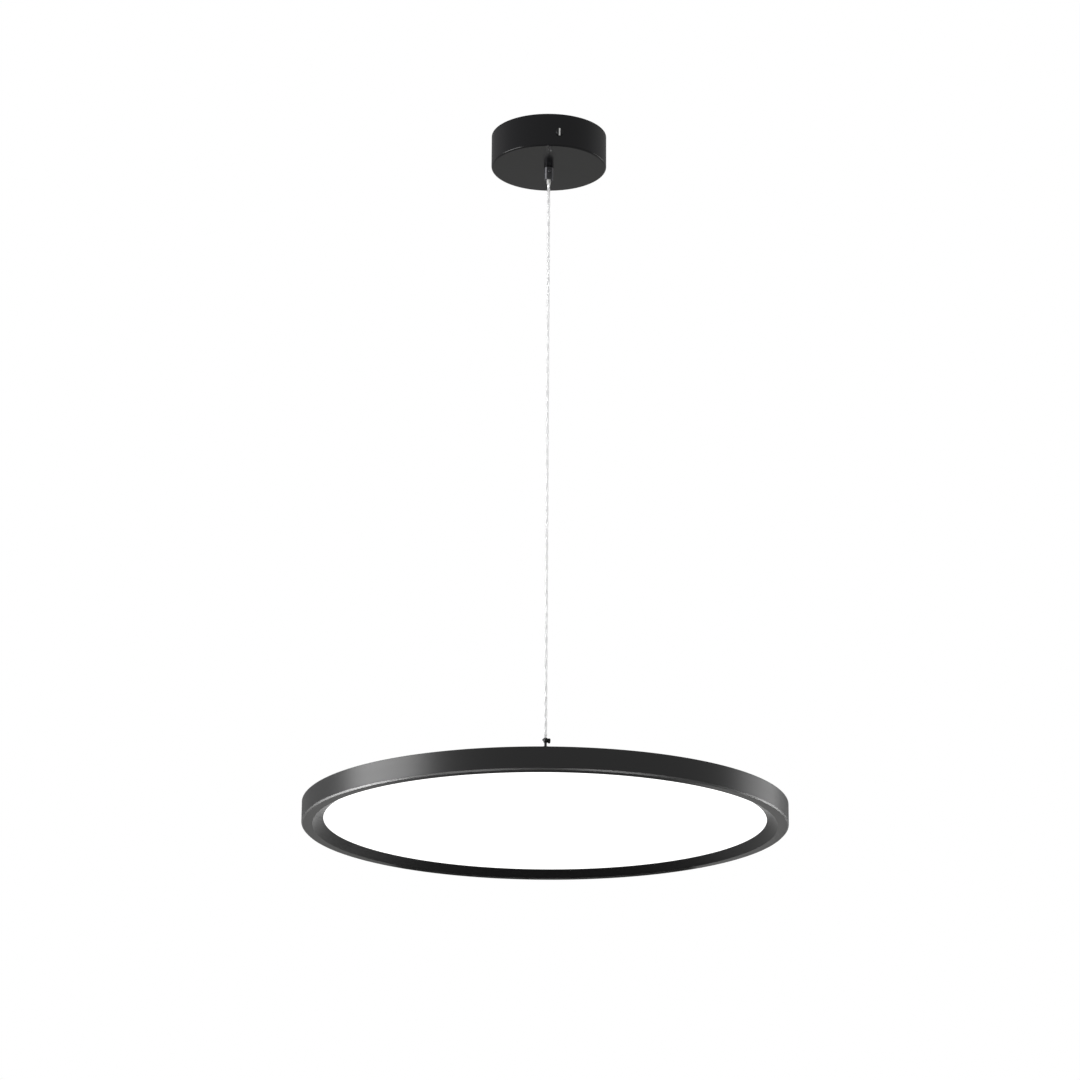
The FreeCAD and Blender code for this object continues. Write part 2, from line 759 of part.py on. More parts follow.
def terminal_block():
    """Three-pole block: a stepped body, barriers between the poles, screw wells and wire mouths."""
    half = block_width / 2
    body = block(block_outer, block_inner, -half, half, block_underside, ceiling_underside)
    pole_width = block_pole_pitch - block_barrier
    cutters = []
    for pole in (-1, 0, 1):
        middle = pole * block_pole_pitch
        for side in (block_outer, block_inner - block_step):
            cutters.append(block(side, side + block_step, middle - pole_width / 2, middle + pole_width / 2,
                                 block_underside, block_underside + block_step))
        mouth = V(block_outer, middle, wire_height)
        cutters.append(rod(wire_diameter / 2, mouth, mouth + V(block_depth / 4, 0, 0)))
    for spot in pole_screw_places():
        cutters.append(rod(block_screw_diameter / 2 + hole_gap, spot, spot + V(0, 0, block_screw_depth)))
    for spot in block_screw_places():
        cutters.append(rod(small_screw_diameter / 2 + hole_gap, spot + V(0, 0, block_underside), spot))
        head = small_screw_head / 2 + hole_gap
        well = spot + V(0, 0, block_underside)
        cutters.append(rod(head, well, well + V(0, 0, small_screw_head_height)))
    return holes_cut(body, cutters)


def terminal_screws():
    """Clamping screws in the wells of the terminal block."""
    screws = []
    for spot in pole_screw_places():
        top = spot + V(0, 0, block_screw_depth)
        low = spot + V(0, 0, block_step + laid_gap)
        screws.append(rod(block_screw_diameter / 2, low, top))
    return group(screws)


def terminal_block_screws():
    """Screws through the terminal block into the ceiling plate."""
    seat = block_underside + small_screw_head_height
    screw = ceiling_screw(-seat)
    return group([moved(screw, spot.x, spot.y, seat) for spot in block_screw_places()])


def supply_leads():
    """Live and neutral wires from the terminal block to the driver's input."""
    leads = []
    for step, pole in enumerate((-1, 0)):
        middle = pole * block_pole_pitch
        turn_x = -earth_offset + step * wire_step
        entry = -entry_offset - wire_step + step * wire_step
        points = [
            V(block_inner + laid_gap, middle, wire_height), V(turn_x, middle, wire_height),
            V(turn_x, entry, wire_height), V(driver_inset - laid_gap, entry, wire_height),
        ]
        leads.append(bent_rod(points, wire_diameter / 2, wire_bend))
    return group(leads)


def earth_tag_edge():
    """Where the earth tag's barrel starts, along Y."""
    return earth_y - earth_tag_width


def earth_lead():
    """Earth wire from the terminal block up to the tag's barrel."""
    middle = block_pole_pitch
    barrel_height = ceiling_underside - earth_tag_thickness - earth_barrel / 2
    foot = earth_tag_edge() - earth_tag_width
    points = [
        V(block_inner + laid_gap, middle, wire_height), V(-earth_offset, middle, wire_height),
        V(-earth_offset, foot - earth_tag_width / 2, wire_height), V(-earth_offset, foot, barrel_height),
        V(-earth_offset, earth_tag_edge() - laid_gap, barrel_height),
    ]
    return bent_rod(points, wire_diameter / 2, 0.45 * earth_tag_width)


def earth_tag():
    """Ring tag crimped on the earth wire, flat against the ceiling plate."""
    low = ceiling_underside - earth_tag_thickness
    ring = rod(earth_tag_width / 2, V(-earth_offset, earth_y, low), V(-earth_offset, earth_y, ceiling_underside))
    half = earth_barrel / 2
    tongue = block(-earth_offset - half, -earth_offset + half, earth_tag_edge(), earth_y, low, ceiling_underside)
    barrel = block(-earth_offset - half, -earth_offset + half, earth_tag_edge(), earth_y - earth_tag_width / 2,
                   low - earth_barrel, ceiling_underside)
    hole = rod(small_screw_diameter / 2 + hole_gap, V(-earth_offset, earth_y, low),
               V(-earth_offset, earth_y, ceiling_underside))
    return ring.fuse([tongue, barrel]).removeSplitter().cut(hole)


def earth_screw():
    """Screw that holds the earth tag to the ceiling plate."""
    screw = ceiling_screw(earth_tag_thickness + ceiling_plate_thickness)
    return moved(screw, -earth_offset, earth_y, ceiling_underside - earth_tag_thickness)


PIECES = [
    ceiling_plate, canopy_cover, canopy_side_screws, cord_grip, grip_set_screw, grip_washer, grip_nut, cord_tail,
    led_driver, driver_screws, terminal_block, terminal_screws, terminal_block_screws, supply_leads,
    earth_lead, earth_tag, earth_screw,
    cord_sleeve, cord_neck, pendant_cord,
    cord_clamp, clamp_screw, swivel_ring,
    stem_tube, stem_washer, stem_nut, hub_plate, hub_screws, back_plate, back_plate_screws, frame_ring,
    diffuser, light_guide, reflector_sheet, foam_pad, led_strip, led_chips, strip_connector, lamp_lead,
]

os.makedirs("parts", exist_ok=True)
for piece in PIECES:
    shape = piece()
    shape.exportStep(f"parts/{piece.__name__}.step")
    box = shape.BoundBox
    print(f"{piece.__name__}: solids {len(shape.Solids)}, volume {shape.Volume:.1f}, valid {shape.isValid()}, "
          f"z {box.ZMin:.2f} to {box.ZMax:.2f}")
print(f"upper pivot {upper_pivot:.3f}, lower pivot {lower_pivot:.3f}, clamp top {clamp_top:.3f}")
print(f"disc top {disc_top:.3f}, disc underside {disc_underside:.3f}, driver length {driver_length:.2f}")
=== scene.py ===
"""Looks of the disc pendant light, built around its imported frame.

Sizes of the lamp are millimetres, heights are measured from the ceiling and Z is up. A surface is a grid of
points worked out with numpy, and becomes a mesh in metres at the end.
"""
import functools
import logging
import math
from dataclasses import dataclass, field, replace
from enum import Enum

import bmesh
import bpy
import numpy as np
from mathutils import Matrix, Vector


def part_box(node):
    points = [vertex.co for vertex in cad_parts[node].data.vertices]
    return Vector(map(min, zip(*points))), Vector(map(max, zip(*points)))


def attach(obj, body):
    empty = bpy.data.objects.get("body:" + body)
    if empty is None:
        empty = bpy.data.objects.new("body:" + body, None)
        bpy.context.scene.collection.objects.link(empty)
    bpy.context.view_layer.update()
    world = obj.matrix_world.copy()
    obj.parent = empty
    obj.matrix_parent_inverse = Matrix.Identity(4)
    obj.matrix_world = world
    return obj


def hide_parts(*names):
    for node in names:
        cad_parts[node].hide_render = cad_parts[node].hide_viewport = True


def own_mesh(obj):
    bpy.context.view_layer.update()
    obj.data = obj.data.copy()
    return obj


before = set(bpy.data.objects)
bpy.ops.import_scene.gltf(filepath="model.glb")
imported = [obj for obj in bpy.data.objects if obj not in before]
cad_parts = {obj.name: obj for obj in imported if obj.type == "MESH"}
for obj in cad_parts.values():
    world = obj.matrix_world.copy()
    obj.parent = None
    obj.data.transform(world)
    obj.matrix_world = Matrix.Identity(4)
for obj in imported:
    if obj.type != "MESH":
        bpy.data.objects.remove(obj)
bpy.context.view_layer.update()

MM = 0.001
LOG = logging.getLogger("disc_pendant")

Spot = tuple[float, float, float]
Tree = bpy.types.NodeTree
Socket = bpy.types.NodeSocket

# Rounded corners: steps of an arc, and how far beside it a run gets one more point, up to a share of its rest
ARC_STEPS = 6
RUN_MARGIN = 0.12
RUN_SHARE = 0.25

# Least length and sweep that a corner is divided by
LEAST_LENGTH = 1e-9
LEAST_SWEEP = 1e-6

# Threads: depth as a share of the pitch, and rows of points in one pitch
THREAD_DEPTH = 0.54
THREAD_STEPS = 8

# Nuts: slope of the cone that cuts their corners, and the bore's chamfer as a share of the flats
NUT_CONE = math.tan(math.radians(30))
NUT_CHAMFER = 0.04

# Points closer than this are one point, and faces that meet at more than this angle have a sharp edge
MERGE_MM = 0.001
SHARP_ANGLE = math.radians(34)

# Turn of stretched gloss from round the axis to along it, as a share of a full turn
QUARTER_TURN = 0.25

# Beam of a soft light without a grid, in degrees
OPEN_BEAM = 180.0


class Pointing(Enum):
    """Where a piece's own axis points: the frame's directions of its X, Y and Z."""

    UP = ((1, 0, 0), (0, 1, 0), (0, 0, 1))
    RIGHT = ((0, 1, 0), (0, 0, 1), (1, 0, 0))
    LEFT = ((0, -1, 0), (0, 0, 1), (-1, 0, 0))
    FRONT = ((1, 0, 0), (0, 0, 1), (0, -1, 0))
    BACK = ((-1, 0, 0), (0, 0, 1), (0, 1, 0))


@dataclass
class Extent:
    """Box of a CAD node, in millimetres."""

    low: np.ndarray
    high: np.ndarray

    @property
    def radius(self) -> float:
        """Half the box's width along X."""
        return float(self.high[0] - self.low[0]) / 2

    @property
    def bottom(self) -> float:
        """Lowest height."""
        return float(self.low[2])

    @property
    def top(self) -> float:
        """Greatest height."""
        return float(self.high[2])

    @property
    def middle_height(self) -> float:
        """Height of the box's centre."""
        return float(self.low[2] + self.high[2]) / 2


@dataclass
class Patch:
    """Grid of points, rows x columns x 3, that becomes faces between its neighbours."""

    points: np.ndarray
    close_rows: bool = False
    close_columns: bool = True
    finish: int | np.ndarray = 0

    def faces(self) -> np.ndarray:
        """Faces between neighbouring points.

        Returns:
            The numbers of each face's four corners, face by face.
        """
        rows, columns = self.points.shape[:2]
        row = np.arange(rows if self.close_rows else rows - 1)[:, None]
        column = np.arange(columns if self.close_columns else columns - 1)[None, :]
        next_row = (row + 1) % rows
        next_column = (column + 1) % columns
        corners = (row * columns + column, row * columns + next_column,
                   next_row * columns + next_column, next_row * columns + column)
        return np.stack(corners, -1).reshape(-1, 4)

    def finishes(self) -> np.ndarray:
        """Number of the finish on each face."""
        return np.broadcast_to(np.ravel(self.finish), len(self.faces()))

    def placed(self, origin: Spot, pointing: Pointing = Pointing.UP) -> "Patch":
        """The patch with its own axis at another place and in another direction."""
        return replace(self, points=self.points @ np.array(pointing.value, float) + np.array(origin, float))

    def around(self, count: int, first_turn: float) -> list["Patch"]:
        """Copies evenly spaced about Z.

        Args:
            count: number of copies.
            first_turn: turn of the first copy, in degrees.

        Returns:
            The turned patches.
        """
        turns = np.radians(first_turn) + full_turn(count)
        cosine, sine = np.cos(turns)[:, None, None], np.sin(turns)[:, None, None]
        x, y, z = np.moveaxis(self.points, -1, 0)
        level = np.broadcast_to(z, (count, *z.shape))
        copies = np.stack((cosine * x - sine * y, sine * x + cosine * y, level), -1)
        return [replace(self, points=points) for points in copies]


# Shapes

def extent(node: str) -> Extent:
    """Box of a CAD node at rest, in millimetres rounded to a thousandth."""
    low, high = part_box(node)
    return Extent(np.round(np.array(low) / MM, 3), np.round(np.array(high) / MM, 3))


def extent_field(node: str) -> Extent:
    """Dataclass field that holds the box of a CAD node."""
    return field(default_factory=lambda: extent(node))


def full_turn(count: int) -> np.ndarray:
    """Angles evenly spaced round one turn."""
    return np.linspace(0, 2 * np.pi, count, endpoint=False)


def smooth_step(value: np.ndarray, low: float, high: float) -> np.ndarray:
    """0 below low, 1 above high and 3 s^2 - 2 s^3 between them."""
    share = np.clip((value - low) / (high - low), 0, 1)
    return share * share * (3 - 2 * share)


def outline(corners: list[tuple[float, ...]] | np.ndarray, closed: bool = True) -> np.ndarray:
    """Half section with rounded corners.

    A round is a circle tangent to both runs at its corner. It leaves each run at round / tan(half the angle)
    from the corner, and its points turn evenly about its centre. One more point stands on each run beside a
    corner, which keeps the shading of the run flat.

    Args:
        corners: (radius, height) or (radius, height, round) of each corner, in order.
        closed: whether the last corner joins the first.

    Returns:
        The section's points, as rows of radius and height.
    """
    given = np.array([(*corner, 0.0)[:3] for corner in corners], float)
    spots, rounds = given[:, :2], given[:, 2:]
    back = np.roll(spots, 1, 0) - spots
    ahead = np.roll(spots, -1, 0) - spots
    back_run = np.linalg.norm(back, axis=1, keepdims=True)
    ahead_run = np.linalg.norm(ahead, axis=1, keepdims=True)
    back, ahead = back / back_run, ahead / ahead_run
    half = np.arccos(np.clip((back * ahead).sum(1, keepdims=True), -1, 1)) / 2
    reach = rounds / np.tan(half)
    inward = back + ahead
    inward = inward / np.maximum(np.linalg.norm(inward, axis=1, keepdims=True), LEAST_LENGTH)
    centre = spots + inward * rounds / np.sin(half)
    start = spots + back * reach - centre
    end = spots + ahead * reach - centre
    sweep = np.maximum(np.pi - 2 * half, LEAST_SWEEP)[:, None]
    share = np.linspace(0, 1, ARC_STEPS + 1)[None, :, None]
    arcs = np.sin((1 - share) * sweep) * start[:, None] + np.sin(share * sweep) * end[:, None]
    arcs = arcs / np.sin(sweep) + centre[:, None]
    before = spots + back * (reach + np.minimum(RUN_MARGIN, (back_run - reach) * RUN_SHARE))
    after = spots + ahead * (reach + np.minimum(RUN_MARGIN, (ahead_run - reach) * RUN_SHARE))
    points = np.concatenate((before[:, None], arcs, after[:, None]), 1).reshape(-1, 2)
    if not closed:
        points = points[1:-1]
    keep = np.linalg.norm(points - np.roll(points, 1, 0), axis=1) > MERGE_MM
    keep[0] = True
    return points[keep]


def turned(radii: np.ndarray, heights: np.ndarray, closed: bool = True) -> Patch:
    """Form about Z whose radius and height may change round the turn: x = r cos t, y = r sin t, z = h.

    Args:
        radii: radius by row and turn, which broadcasts with heights to rows x turns.
        heights: height by row and turn.
        closed: whether the last row joins the first.

    Returns:
        The form's patch.
    """
    radii, heights = np.broadcast_arrays(np.asarray(radii, float), np.asarray(heights, float))
    turn = full_turn(radii.shape[1])
    return Patch(np.stack((radii * np.cos(turn), radii * np.sin(turn), heights), -1), close_rows=closed)


def revolved(section: np.ndarray, turns: int, closed: bool = True) -> Patch:
    """Section of (radius, height) carried round Z."""
    return turned(np.repeat(section[:, :1], turns, 1), section[:, 1:], closed)


def drum(radius: float, low: float, high: float, bore: float, edge: float, turns: int) -> Patch:
    """Round plate or bush between two heights, with rounded outer edges and a bore, which may be 0."""
    corners = [(bore, low), (radius, low, edge), (radius, high, edge), (bore, high)]
    return revolved(outline(corners, bore > 0), turns, bore > 0)


def hexagon_radius(flats: float, turns: int) -> np.ndarray:
    """Radius of a hexagon round the turn: half the flats over the cosine of the angle from the nearest flat.

    Args:
        flats: distance between opposite flats.
        turns: points round the turn.

    Returns:
        The radii, as one row.
    """
    side = math.pi / 3
    from_flat = full_turn(turns)[None, :] % side - side / 2
    return flats / 2 / np.cos(from_flat)


def hex_nut(flats: float, low: float, high: float, bore: float, turns: int) -> Patch:
    """Hexagonal nut: each row's radius is the lesser of the hexagon's and a 30 degree cone's at both ends.

    Args:
        flats: distance between opposite flats.
        low: height of its foot.
        high: height of its top.
        bore: radius of its bore.
        turns: points round the turn.

    Returns:
        The nut's patch.
    """
    hexagon = hexagon_radius(flats, turns)
    lost = (flats / math.sqrt(3) - flats / 2) * NUT_CONE
    ends = np.linspace(0, lost, ARC_STEPS)
    heights = np.concatenate((low + ends, high - ends[::-1]))[:, None]
    cone = flats / 2 + np.minimum(heights - low, high - heights) / NUT_CONE
    chamfer = NUT_CHAMFER * flats
    inner = np.array([[bore + chamfer], [bore], [bore], [bore + chamfer]]) * np.ones_like(hexagon)
    inner_heights = np.array([[high], [high - chamfer], [low + chamfer], [low]])
    return turned(np.vstack((np.minimum(hexagon, cone), inner)), np.vstack((heights, inner_heights)))


def threaded(radius: float, low: float, high: float, pitch: float, turns: int) -> Patch:
    """Solid rod with a helical thread.

    The radius drops from its crest by up to the thread's depth as a triangle wave of (height / pitch - turn),
    and the wave fades out over one pitch at each end.

    Args:
        radius: radius of the crest.
        low: height of its foot.
        high: height of its top.
        pitch: rise of one turn.
        turns: points round the turn.

    Returns:
        The rod's patch.
    """
    heights = np.linspace(low, high, int((high - low) / pitch * THREAD_STEPS) + 1)[:, None]
    turn = np.linspace(0, 1, turns, endpoint=False)[None, :]
    wave = np.abs(2 * ((heights / pitch - turn) % 1) - 1)
    fade = smooth_step(heights, low, low + pitch) * (1 - smooth_step(heights, high - pitch, high))
    radii = radius - THREAD_DEPTH * pitch * (1 - fade * wave)
    tip = np.zeros((1, turns))
    return turned(np.vstack((tip, radii, tip)), np.vstack(([[low]], heights, [[high]])), False)


@dataclass(frozen=True)
class PanHead:
    """Pan head of a screw, with a cross recess.

    Its widths are shares of its radius, and its falls and depths are shares of its height.
    """

    crown_fall: float = 0.12
    rim_fall: float = 0.42
    rim_start: float = 0.62
    bar_half: float = 0.17
    bar_reach: float = 0.62
    recess_edge: float = 0.05
    recess_depth: float = 0.575
    recess_fall: float = 0.3
    rows: int = 34
    turns: int = 96

    def patch(self, head: float, height: float) -> Patch:
        """Head with its seat at height 0.

        The top is a polar grid: a low crown that rounds down to the rim, less a cross whose arms are bounded
        by the signed distance to two crossed bars and deepen towards the middle.

        Args:
            head: diameter of the head.
            height: height of its crown.

        Returns:
            The head's patch.
        """
        radius = head / 2
        share = np.linspace(0, 1, self.rows)[:, None]
        turn = full_turn(self.turns)[None, :]
        radii = radius * np.sin(share * np.pi / 2)
        rim = smooth_step(radii, self.rim_start * radius, radius) ** 2
        crown = height * (1 - self.crown_fall * share ** 2 - self.rim_fall * rim)
        x, y = np.abs(radii * np.cos(turn)), np.abs(radii * np.sin(turn))
        half, reach, edge = self.bar_half * radius, self.bar_reach * radius, self.recess_edge * radius
        inside = np.maximum(np.minimum(half - x, reach - y), np.minimum(half - y, reach - x))
        depth = height * (self.recess_depth - self.recess_fall * radii / reach)
        depth = depth * smooth_step(inside, -edge, edge)
        plain = np.ones_like(turn)
        return turned(np.vstack((radii * plain, radius * plain, 0 * plain)),
                      np.vstack((crown - depth, 0 * plain, 0 * plain)), False)


def tube(path: np.ndarray, radii: np.ndarray, sides: int) -> Patch:
    """Round tube along a path: centre + r (cos t across + sin t along x across), closed at both ends.

    Args:
        path: centres of the rings, in order.
        radii: radius of each ring.
        sides: points of each ring.

    Returns:
        The tube's patch.
    """
    along = np.gradient(path, axis=0)
    along = along / np.linalg.norm(along, axis=1, keepdims=True)
    side = np.array([1.0, 0.0, 0.0])
    across = side - along * (along @ side)[:, None]
    across = across / np.linalg.norm(across, axis=1, keepdims=True)
    third = np.cross(along, across)
    turn = full_turn(sides)[None, :, None]
    circles = np.cos(turn) * across[:, None] + np.sin(turn) * third[:, None]
    rings = path[:, None] + radii[:, None, None] * circles
    ends = [np.repeat(end[None, None], sides, 1) for end in (path[0], path[-1])]
    return Patch(np.concatenate((ends[0], rings, ends[1])))


def smooth_route(points: tuple[Spot, ...], steps: int) -> np.ndarray:
    """Points along a cord's smooth line: a NURBS spline of order 3 that has the route as control points.

    Args:
        points: the route, in metres.
        steps: points read from each span of the spline.

    Returns:
        The line's points, in millimetres.
    """
    curve = bpy.data.curves.new("cord_route", "CURVE")
    curve.dimensions = "3D"
    spline = curve.splines.new("NURBS")
    spline.points.add(len(points) - 1)
    spline.points.foreach_set("co", np.column_stack((points, np.ones(len(points)))).ravel())
    spline.order_u = 3
    spline.use_endpoint_u = True
    spline.resolution_u = steps
    holder = bpy.data.objects.new("cord_route", curve)
    line = bpy.data.meshes.new_from_object(holder)
    found = np.zeros(len(line.vertices) * 3)
    line.vertices.foreach_get("co", found)
    bpy.data.meshes.remove(line)
    bpy.data.curves.remove(curve)
    return found.reshape(-1, 3) / MM


# Objects

def grid_lit() -> bpy.types.Collection:
    """Collection of the pieces that the gridded lights reach, made on its first use."""
    return bpy.data.collections.get("grid_lit") or bpy.data.collections.new("grid_lit")


def add_object(name: str, data: bpy.types.ID) -> bpy.types.Object:
    """Puts a mesh, a light or a camera into the scene.

    Args:
        name: the object's name.
        data: what it holds.

    Returns:
        The object, at the origin.
    """
    made = bpy.data.objects.new(name, data)
    bpy.context.scene.collection.objects.link(made)
    return made


def make_mesh(name: str, patches: list[Patch], outward: bool) -> bpy.types.Mesh:
    """Joins patches into one mesh.

    Args:
        name: the mesh's name.
        patches: its surfaces, in millimetres.
        outward: whether its faces are turned to the outside of the volume that they close.

    Returns:
        The mesh, in metres, with points in the same place merged.
    """
    counts = np.cumsum([0] + [patch.points.size // 3 for patch in patches])
    points = np.concatenate([patch.points.reshape(-1, 3) for patch in patches]) * MM
    faces = np.concatenate([patch.faces() + first for patch, first in zip(patches, counts)])
    mesh = bpy.data.meshes.new(name)
    mesh.from_pydata(points.tolist(), [], faces.tolist())
    mesh.polygons.foreach_set("material_index", np.concatenate([patch.finishes() for patch in patches]))
    shape = bmesh.new()
    shape.from_mesh(mesh)
    bmesh.ops.remove_doubles(shape, verts=shape.verts, dist=MERGE_MM * MM)
    if outward:
        bmesh.ops.recalc_face_normals(shape, faces=shape.faces)
    shape.to_mesh(mesh)
    shape.free()
    return mesh


def make_piece(name: str, body: str, patches: list[Patch], finishes: list["Finish"]) -> bpy.types.Object:
    """Makes one piece of the lamp, which stands for the CAD node of its own name where there is one.

    Args:
        name: the piece's name.
        body: the CAD body that it moves with.
        patches: its surfaces, in millimetres.
        finishes: its finishes, by the number that the patches hold.

    Returns:
        The piece's object.
    """
    mesh = make_mesh(name, patches, outward=True)
    mesh.shade_smooth()
    mesh.set_sharp_from_angle(angle=SHARP_ANGLE)
    for finish in finishes:
        mesh.materials.append(material_of(finish))
    piece = add_object(name, mesh)
    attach(piece, body)
    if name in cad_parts:
        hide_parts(name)
    LOG.info("%s: %d faces on %s", name, len(mesh.polygons), body)
    return piece


def dress(finishes: dict["Finish", tuple[str, ...]]) -> None:
    """Gives CAD nodes that keep their own meshes their finishes.

    Args:
        finishes: the nodes that have each finish.
    """
    for finish, nodes in finishes.items():
        for node in nodes:
            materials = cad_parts[node].data.materials
            materials.clear()
            materials.append(material_of(finish))
            LOG.info("%s: %s", node, finish.name)


# Finishes

def linear(colour: str) -> tuple[float, float, float, float]:
    """Linear colour of an sRGB hex value, by the curve of the sRGB standard.

    Args:
        colour: six hex digits, such as "F4F4F2".

    Returns:
        Red, green, blue and full cover.
    """
    coded = np.array([int(colour[at:at + 2], 16) for at in (0, 2, 4)]) / 255
    plain = np.where(coded <= 0.04045, coded / 12.92, ((coded + 0.055) / 1.055) ** 2.4)
    return (*plain.tolist(), 1.0)


def add_node(tree: Tree, kind: str, settings: dict | None = None,
             inputs: dict | None = None) -> bpy.types.Node:
    """Adds a shader node.

    Args:
        tree: the node tree.
        kind: the node's type, without its ShaderNode prefix.
        settings: values of the node's own properties.
        inputs: links or constants by socket name or number.

    Returns:
        The node.
    """
    node = tree.nodes.new("ShaderNode" + kind)
    for name, value in (settings or {}).items():
        setattr(node, name, value)
    for name, value in (inputs or {}).items():
        if isinstance(value, Socket):
            tree.links.new(value, node.inputs[name])
        else:
            node.inputs[name].default_value = value
    return node


def combined(tree: Tree, operation: str, first: Socket, second: Socket | float) -> Socket:
    """Result of one operation on two values."""
    return add_node(tree, "Math", {"operation": operation}, {0: first, 1: second}).outputs[0]


def tinted(tree: Tree, mask: Socket, colour: str, shade: str) -> Socket:
    """Colour that runs from one hex value to another as the mask rises."""
    inputs = {0: mask, 6: linear(colour), 7: linear(shade)}
    return add_node(tree, "Mix", {"data_type": "RGBA"}, inputs).outputs[2]


def seen_straight(tree: Tree) -> Socket:
    """1 for what the eye sees straight or through a clear piece."""
    path = add_node(tree, "LightPath")
    return combined(tree, "MAXIMUM", path.outputs["Is Camera Ray"], path.outputs["Is Transmission Ray"])


@dataclass(frozen=True)
class Finish:
    """Finish with an even grain: 3-D noise of one size shifts its colour, roughness and height a little."""

    name: str
    colour: str
    shade: str
    roughness: float
    grain_mm: float
    roughness_shift: float = 0.05
    relief_mm: float = 0.0
    metallic: float = 0.0
    specular: float = 0.5
    ior: float = 1.5
    transmission: float = 0.0
    glow: float = 0.0
    anisotropy: float = 0.0
    noise_detail: float = 3.0

    def constants(self) -> dict[str, float | tuple]:
        """Values that are the same all over.

        Returns:
            The values by the shader's socket.
        """
        values = {"Metallic": self.metallic, "Specular IOR Level": self.specular, "IOR": self.ior,
                  "Transmission Weight": self.transmission, "Emission Strength": self.glow,
                  "Anisotropic": self.anisotropy, "Anisotropic Rotation": QUARTER_TURN}
        if self.glow:
            values["Emission Color"] = linear(self.colour)
        return values

    def place(self, tree: Tree) -> Socket:
        """Where the grain is read: the piece's own coordinates, in metres."""
        return add_node(tree, "TexCoord").outputs["Object"]

    def mask(self, tree: Tree, place: Socket) -> Socket:
        """Share of the shade colour: the grain's noise."""
        inputs = {"Vector": place, "Scale": 1 / (self.grain_mm * MM), "Detail": self.noise_detail}
        return add_node(tree, "TexNoise", None, inputs).outputs[0]

    def build(self) -> bpy.types.Material:
        """Makes the material.

        Returns:
            A material whose colour runs from colour to shade by the mask, as roughness and bump do.
        """
        made = bpy.data.materials.new(self.name)
        made.use_nodes = True
        tree = made.node_tree
        shader = tree.nodes["Principled BSDF"]
        for socket, value in self.constants().items():
            shader.inputs[socket].default_value = value
        mask = self.mask(tree, self.place(tree))
        tree.links.new(tinted(tree, mask, self.colour, self.shade), shader.inputs["Base Color"])
        rough = add_node(tree, "MapRange", None,
                         {"Value": mask, "To Min": self.roughness - self.roughness_shift,
                          "To Max": self.roughness + self.roughness_shift})
        tree.links.new(rough.outputs[0], shader.inputs["Roughness"])
        if self.relief_mm:
            bump = add_node(tree, "Bump", None, {"Height": mask, "Distance": self.relief_mm * MM})
            tree.links.new(bump.outputs[0], shader.inputs["Normal"])
        return made


@dataclass(frozen=True)
class RingDrawnFinish(Finish):
    """Finish of a rolled extrusion or a turned piece: its grain is lines that run round Z."""

    def place(self, tree: Tree) -> Socket:
        """Where the grain is read, so that nothing changes round the turn.

        Args:
            tree: the material's node tree.

        Returns:
            The distance from the axis and the height.
        """
        apart = add_node(tree, "SeparateXYZ", None, {0: super().place(tree)})
        flat = add_node(tree, "CombineXYZ", None, {"X": apart.outputs["X"], "Y": apart.outputs["Y"]})
        away = add_node(tree, "VectorMath", {"operation": "LENGTH"}, {0: flat.outputs[0]})
        section = add_node(tree, "CombineXYZ", None, {"X": away.outputs["Value"], "Z": apart.outputs["Z"]})
        return section.outputs[0]


@dataclass(frozen=True)
class RolledFinish(Finish):
    """Finish of rolled sheet: its grain is drawn out along X."""

    draw_ratio: float = 25.0

    def place(self, tree: Tree) -> Socket:
        """The piece's coordinates, shortened along the rolling direction."""
        inputs = {"Vector": super().place(tree), "Scale": (1 / self.draw_ratio, 1, 1)}
        return add_node(tree, "Mapping", None, inputs).outputs[0]


@dataclass(frozen=True)
class CellFinish(Finish):
    """Finish of foam: its grain is the cells of a 3-D Voronoi pattern."""

    def mask(self, tree: Tree, place: Socket) -> Socket:
        """Distance from the middle of each cell."""
        inputs = {"Vector": place, "Scale": 1 / (self.grain_mm * MM)}
        return add_node(tree, "TexVoronoi", None, inputs).outputs[0]


@dataclass(frozen=True)
class EarthFinish(Finish):
    """Earth wire's insulation: green with a yellow stripe on the side that faces up."""

    stripe_edge: float = 0.25

    def mask(self, tree: Tree, place: Socket) -> Socket:
        """1 where the surface faces up."""
        facing = add_node(tree, "SeparateXYZ", None, {0: add_node(tree, "NewGeometry").outputs["Normal"]})
        return combined(tree, "GREATER_THAN", facing.outputs["Z"], self.stripe_edge)


@dataclass(frozen=True)
class SupplyFinish(Finish):
    """Insulation of the two supply wires: the live wire's colour, and the shade on the neutral wire.

    The lines between them are millimetres along Y, X, Y and the sum of X and Y.
    """

    block_line: float = -4.5
    turn_line: float = -16.0
    driver_line: float = -24.0
    corner_line: float = -36.0

    def mask(self, tree: Tree, place: Socket) -> Socket:
        """Tells the wires apart by the lines between them.

        Args:
            tree: the material's node tree.
            place: the piece's own coordinates.

        Returns:
            1 on the neutral wire: beyond the line at the block, or inside both of the wires' turns.
        """
        apart = add_node(tree, "SeparateXYZ", None, {0: place})
        x, y = apart.outputs["X"], apart.outputs["Y"]
        bounds = ((x, self.turn_line), (y, self.driver_line), (combined(tree, "ADD", x, y), self.corner_line))
        tests = [combined(tree, "GREATER_THAN", value, line * MM) for value, line in bounds]
        inside = functools.reduce(functools.partial(combined, tree, "MULTIPLY"), tests)
        at_block = combined(tree, "GREATER_THAN", y, self.block_line * MM)
        return combined(tree, "MAXIMUM", at_block, inside)


@functools.cache
def material_of(finish: Finish) -> bpy.types.Material:
    """The finish's material, made once."""
    return finish.build()


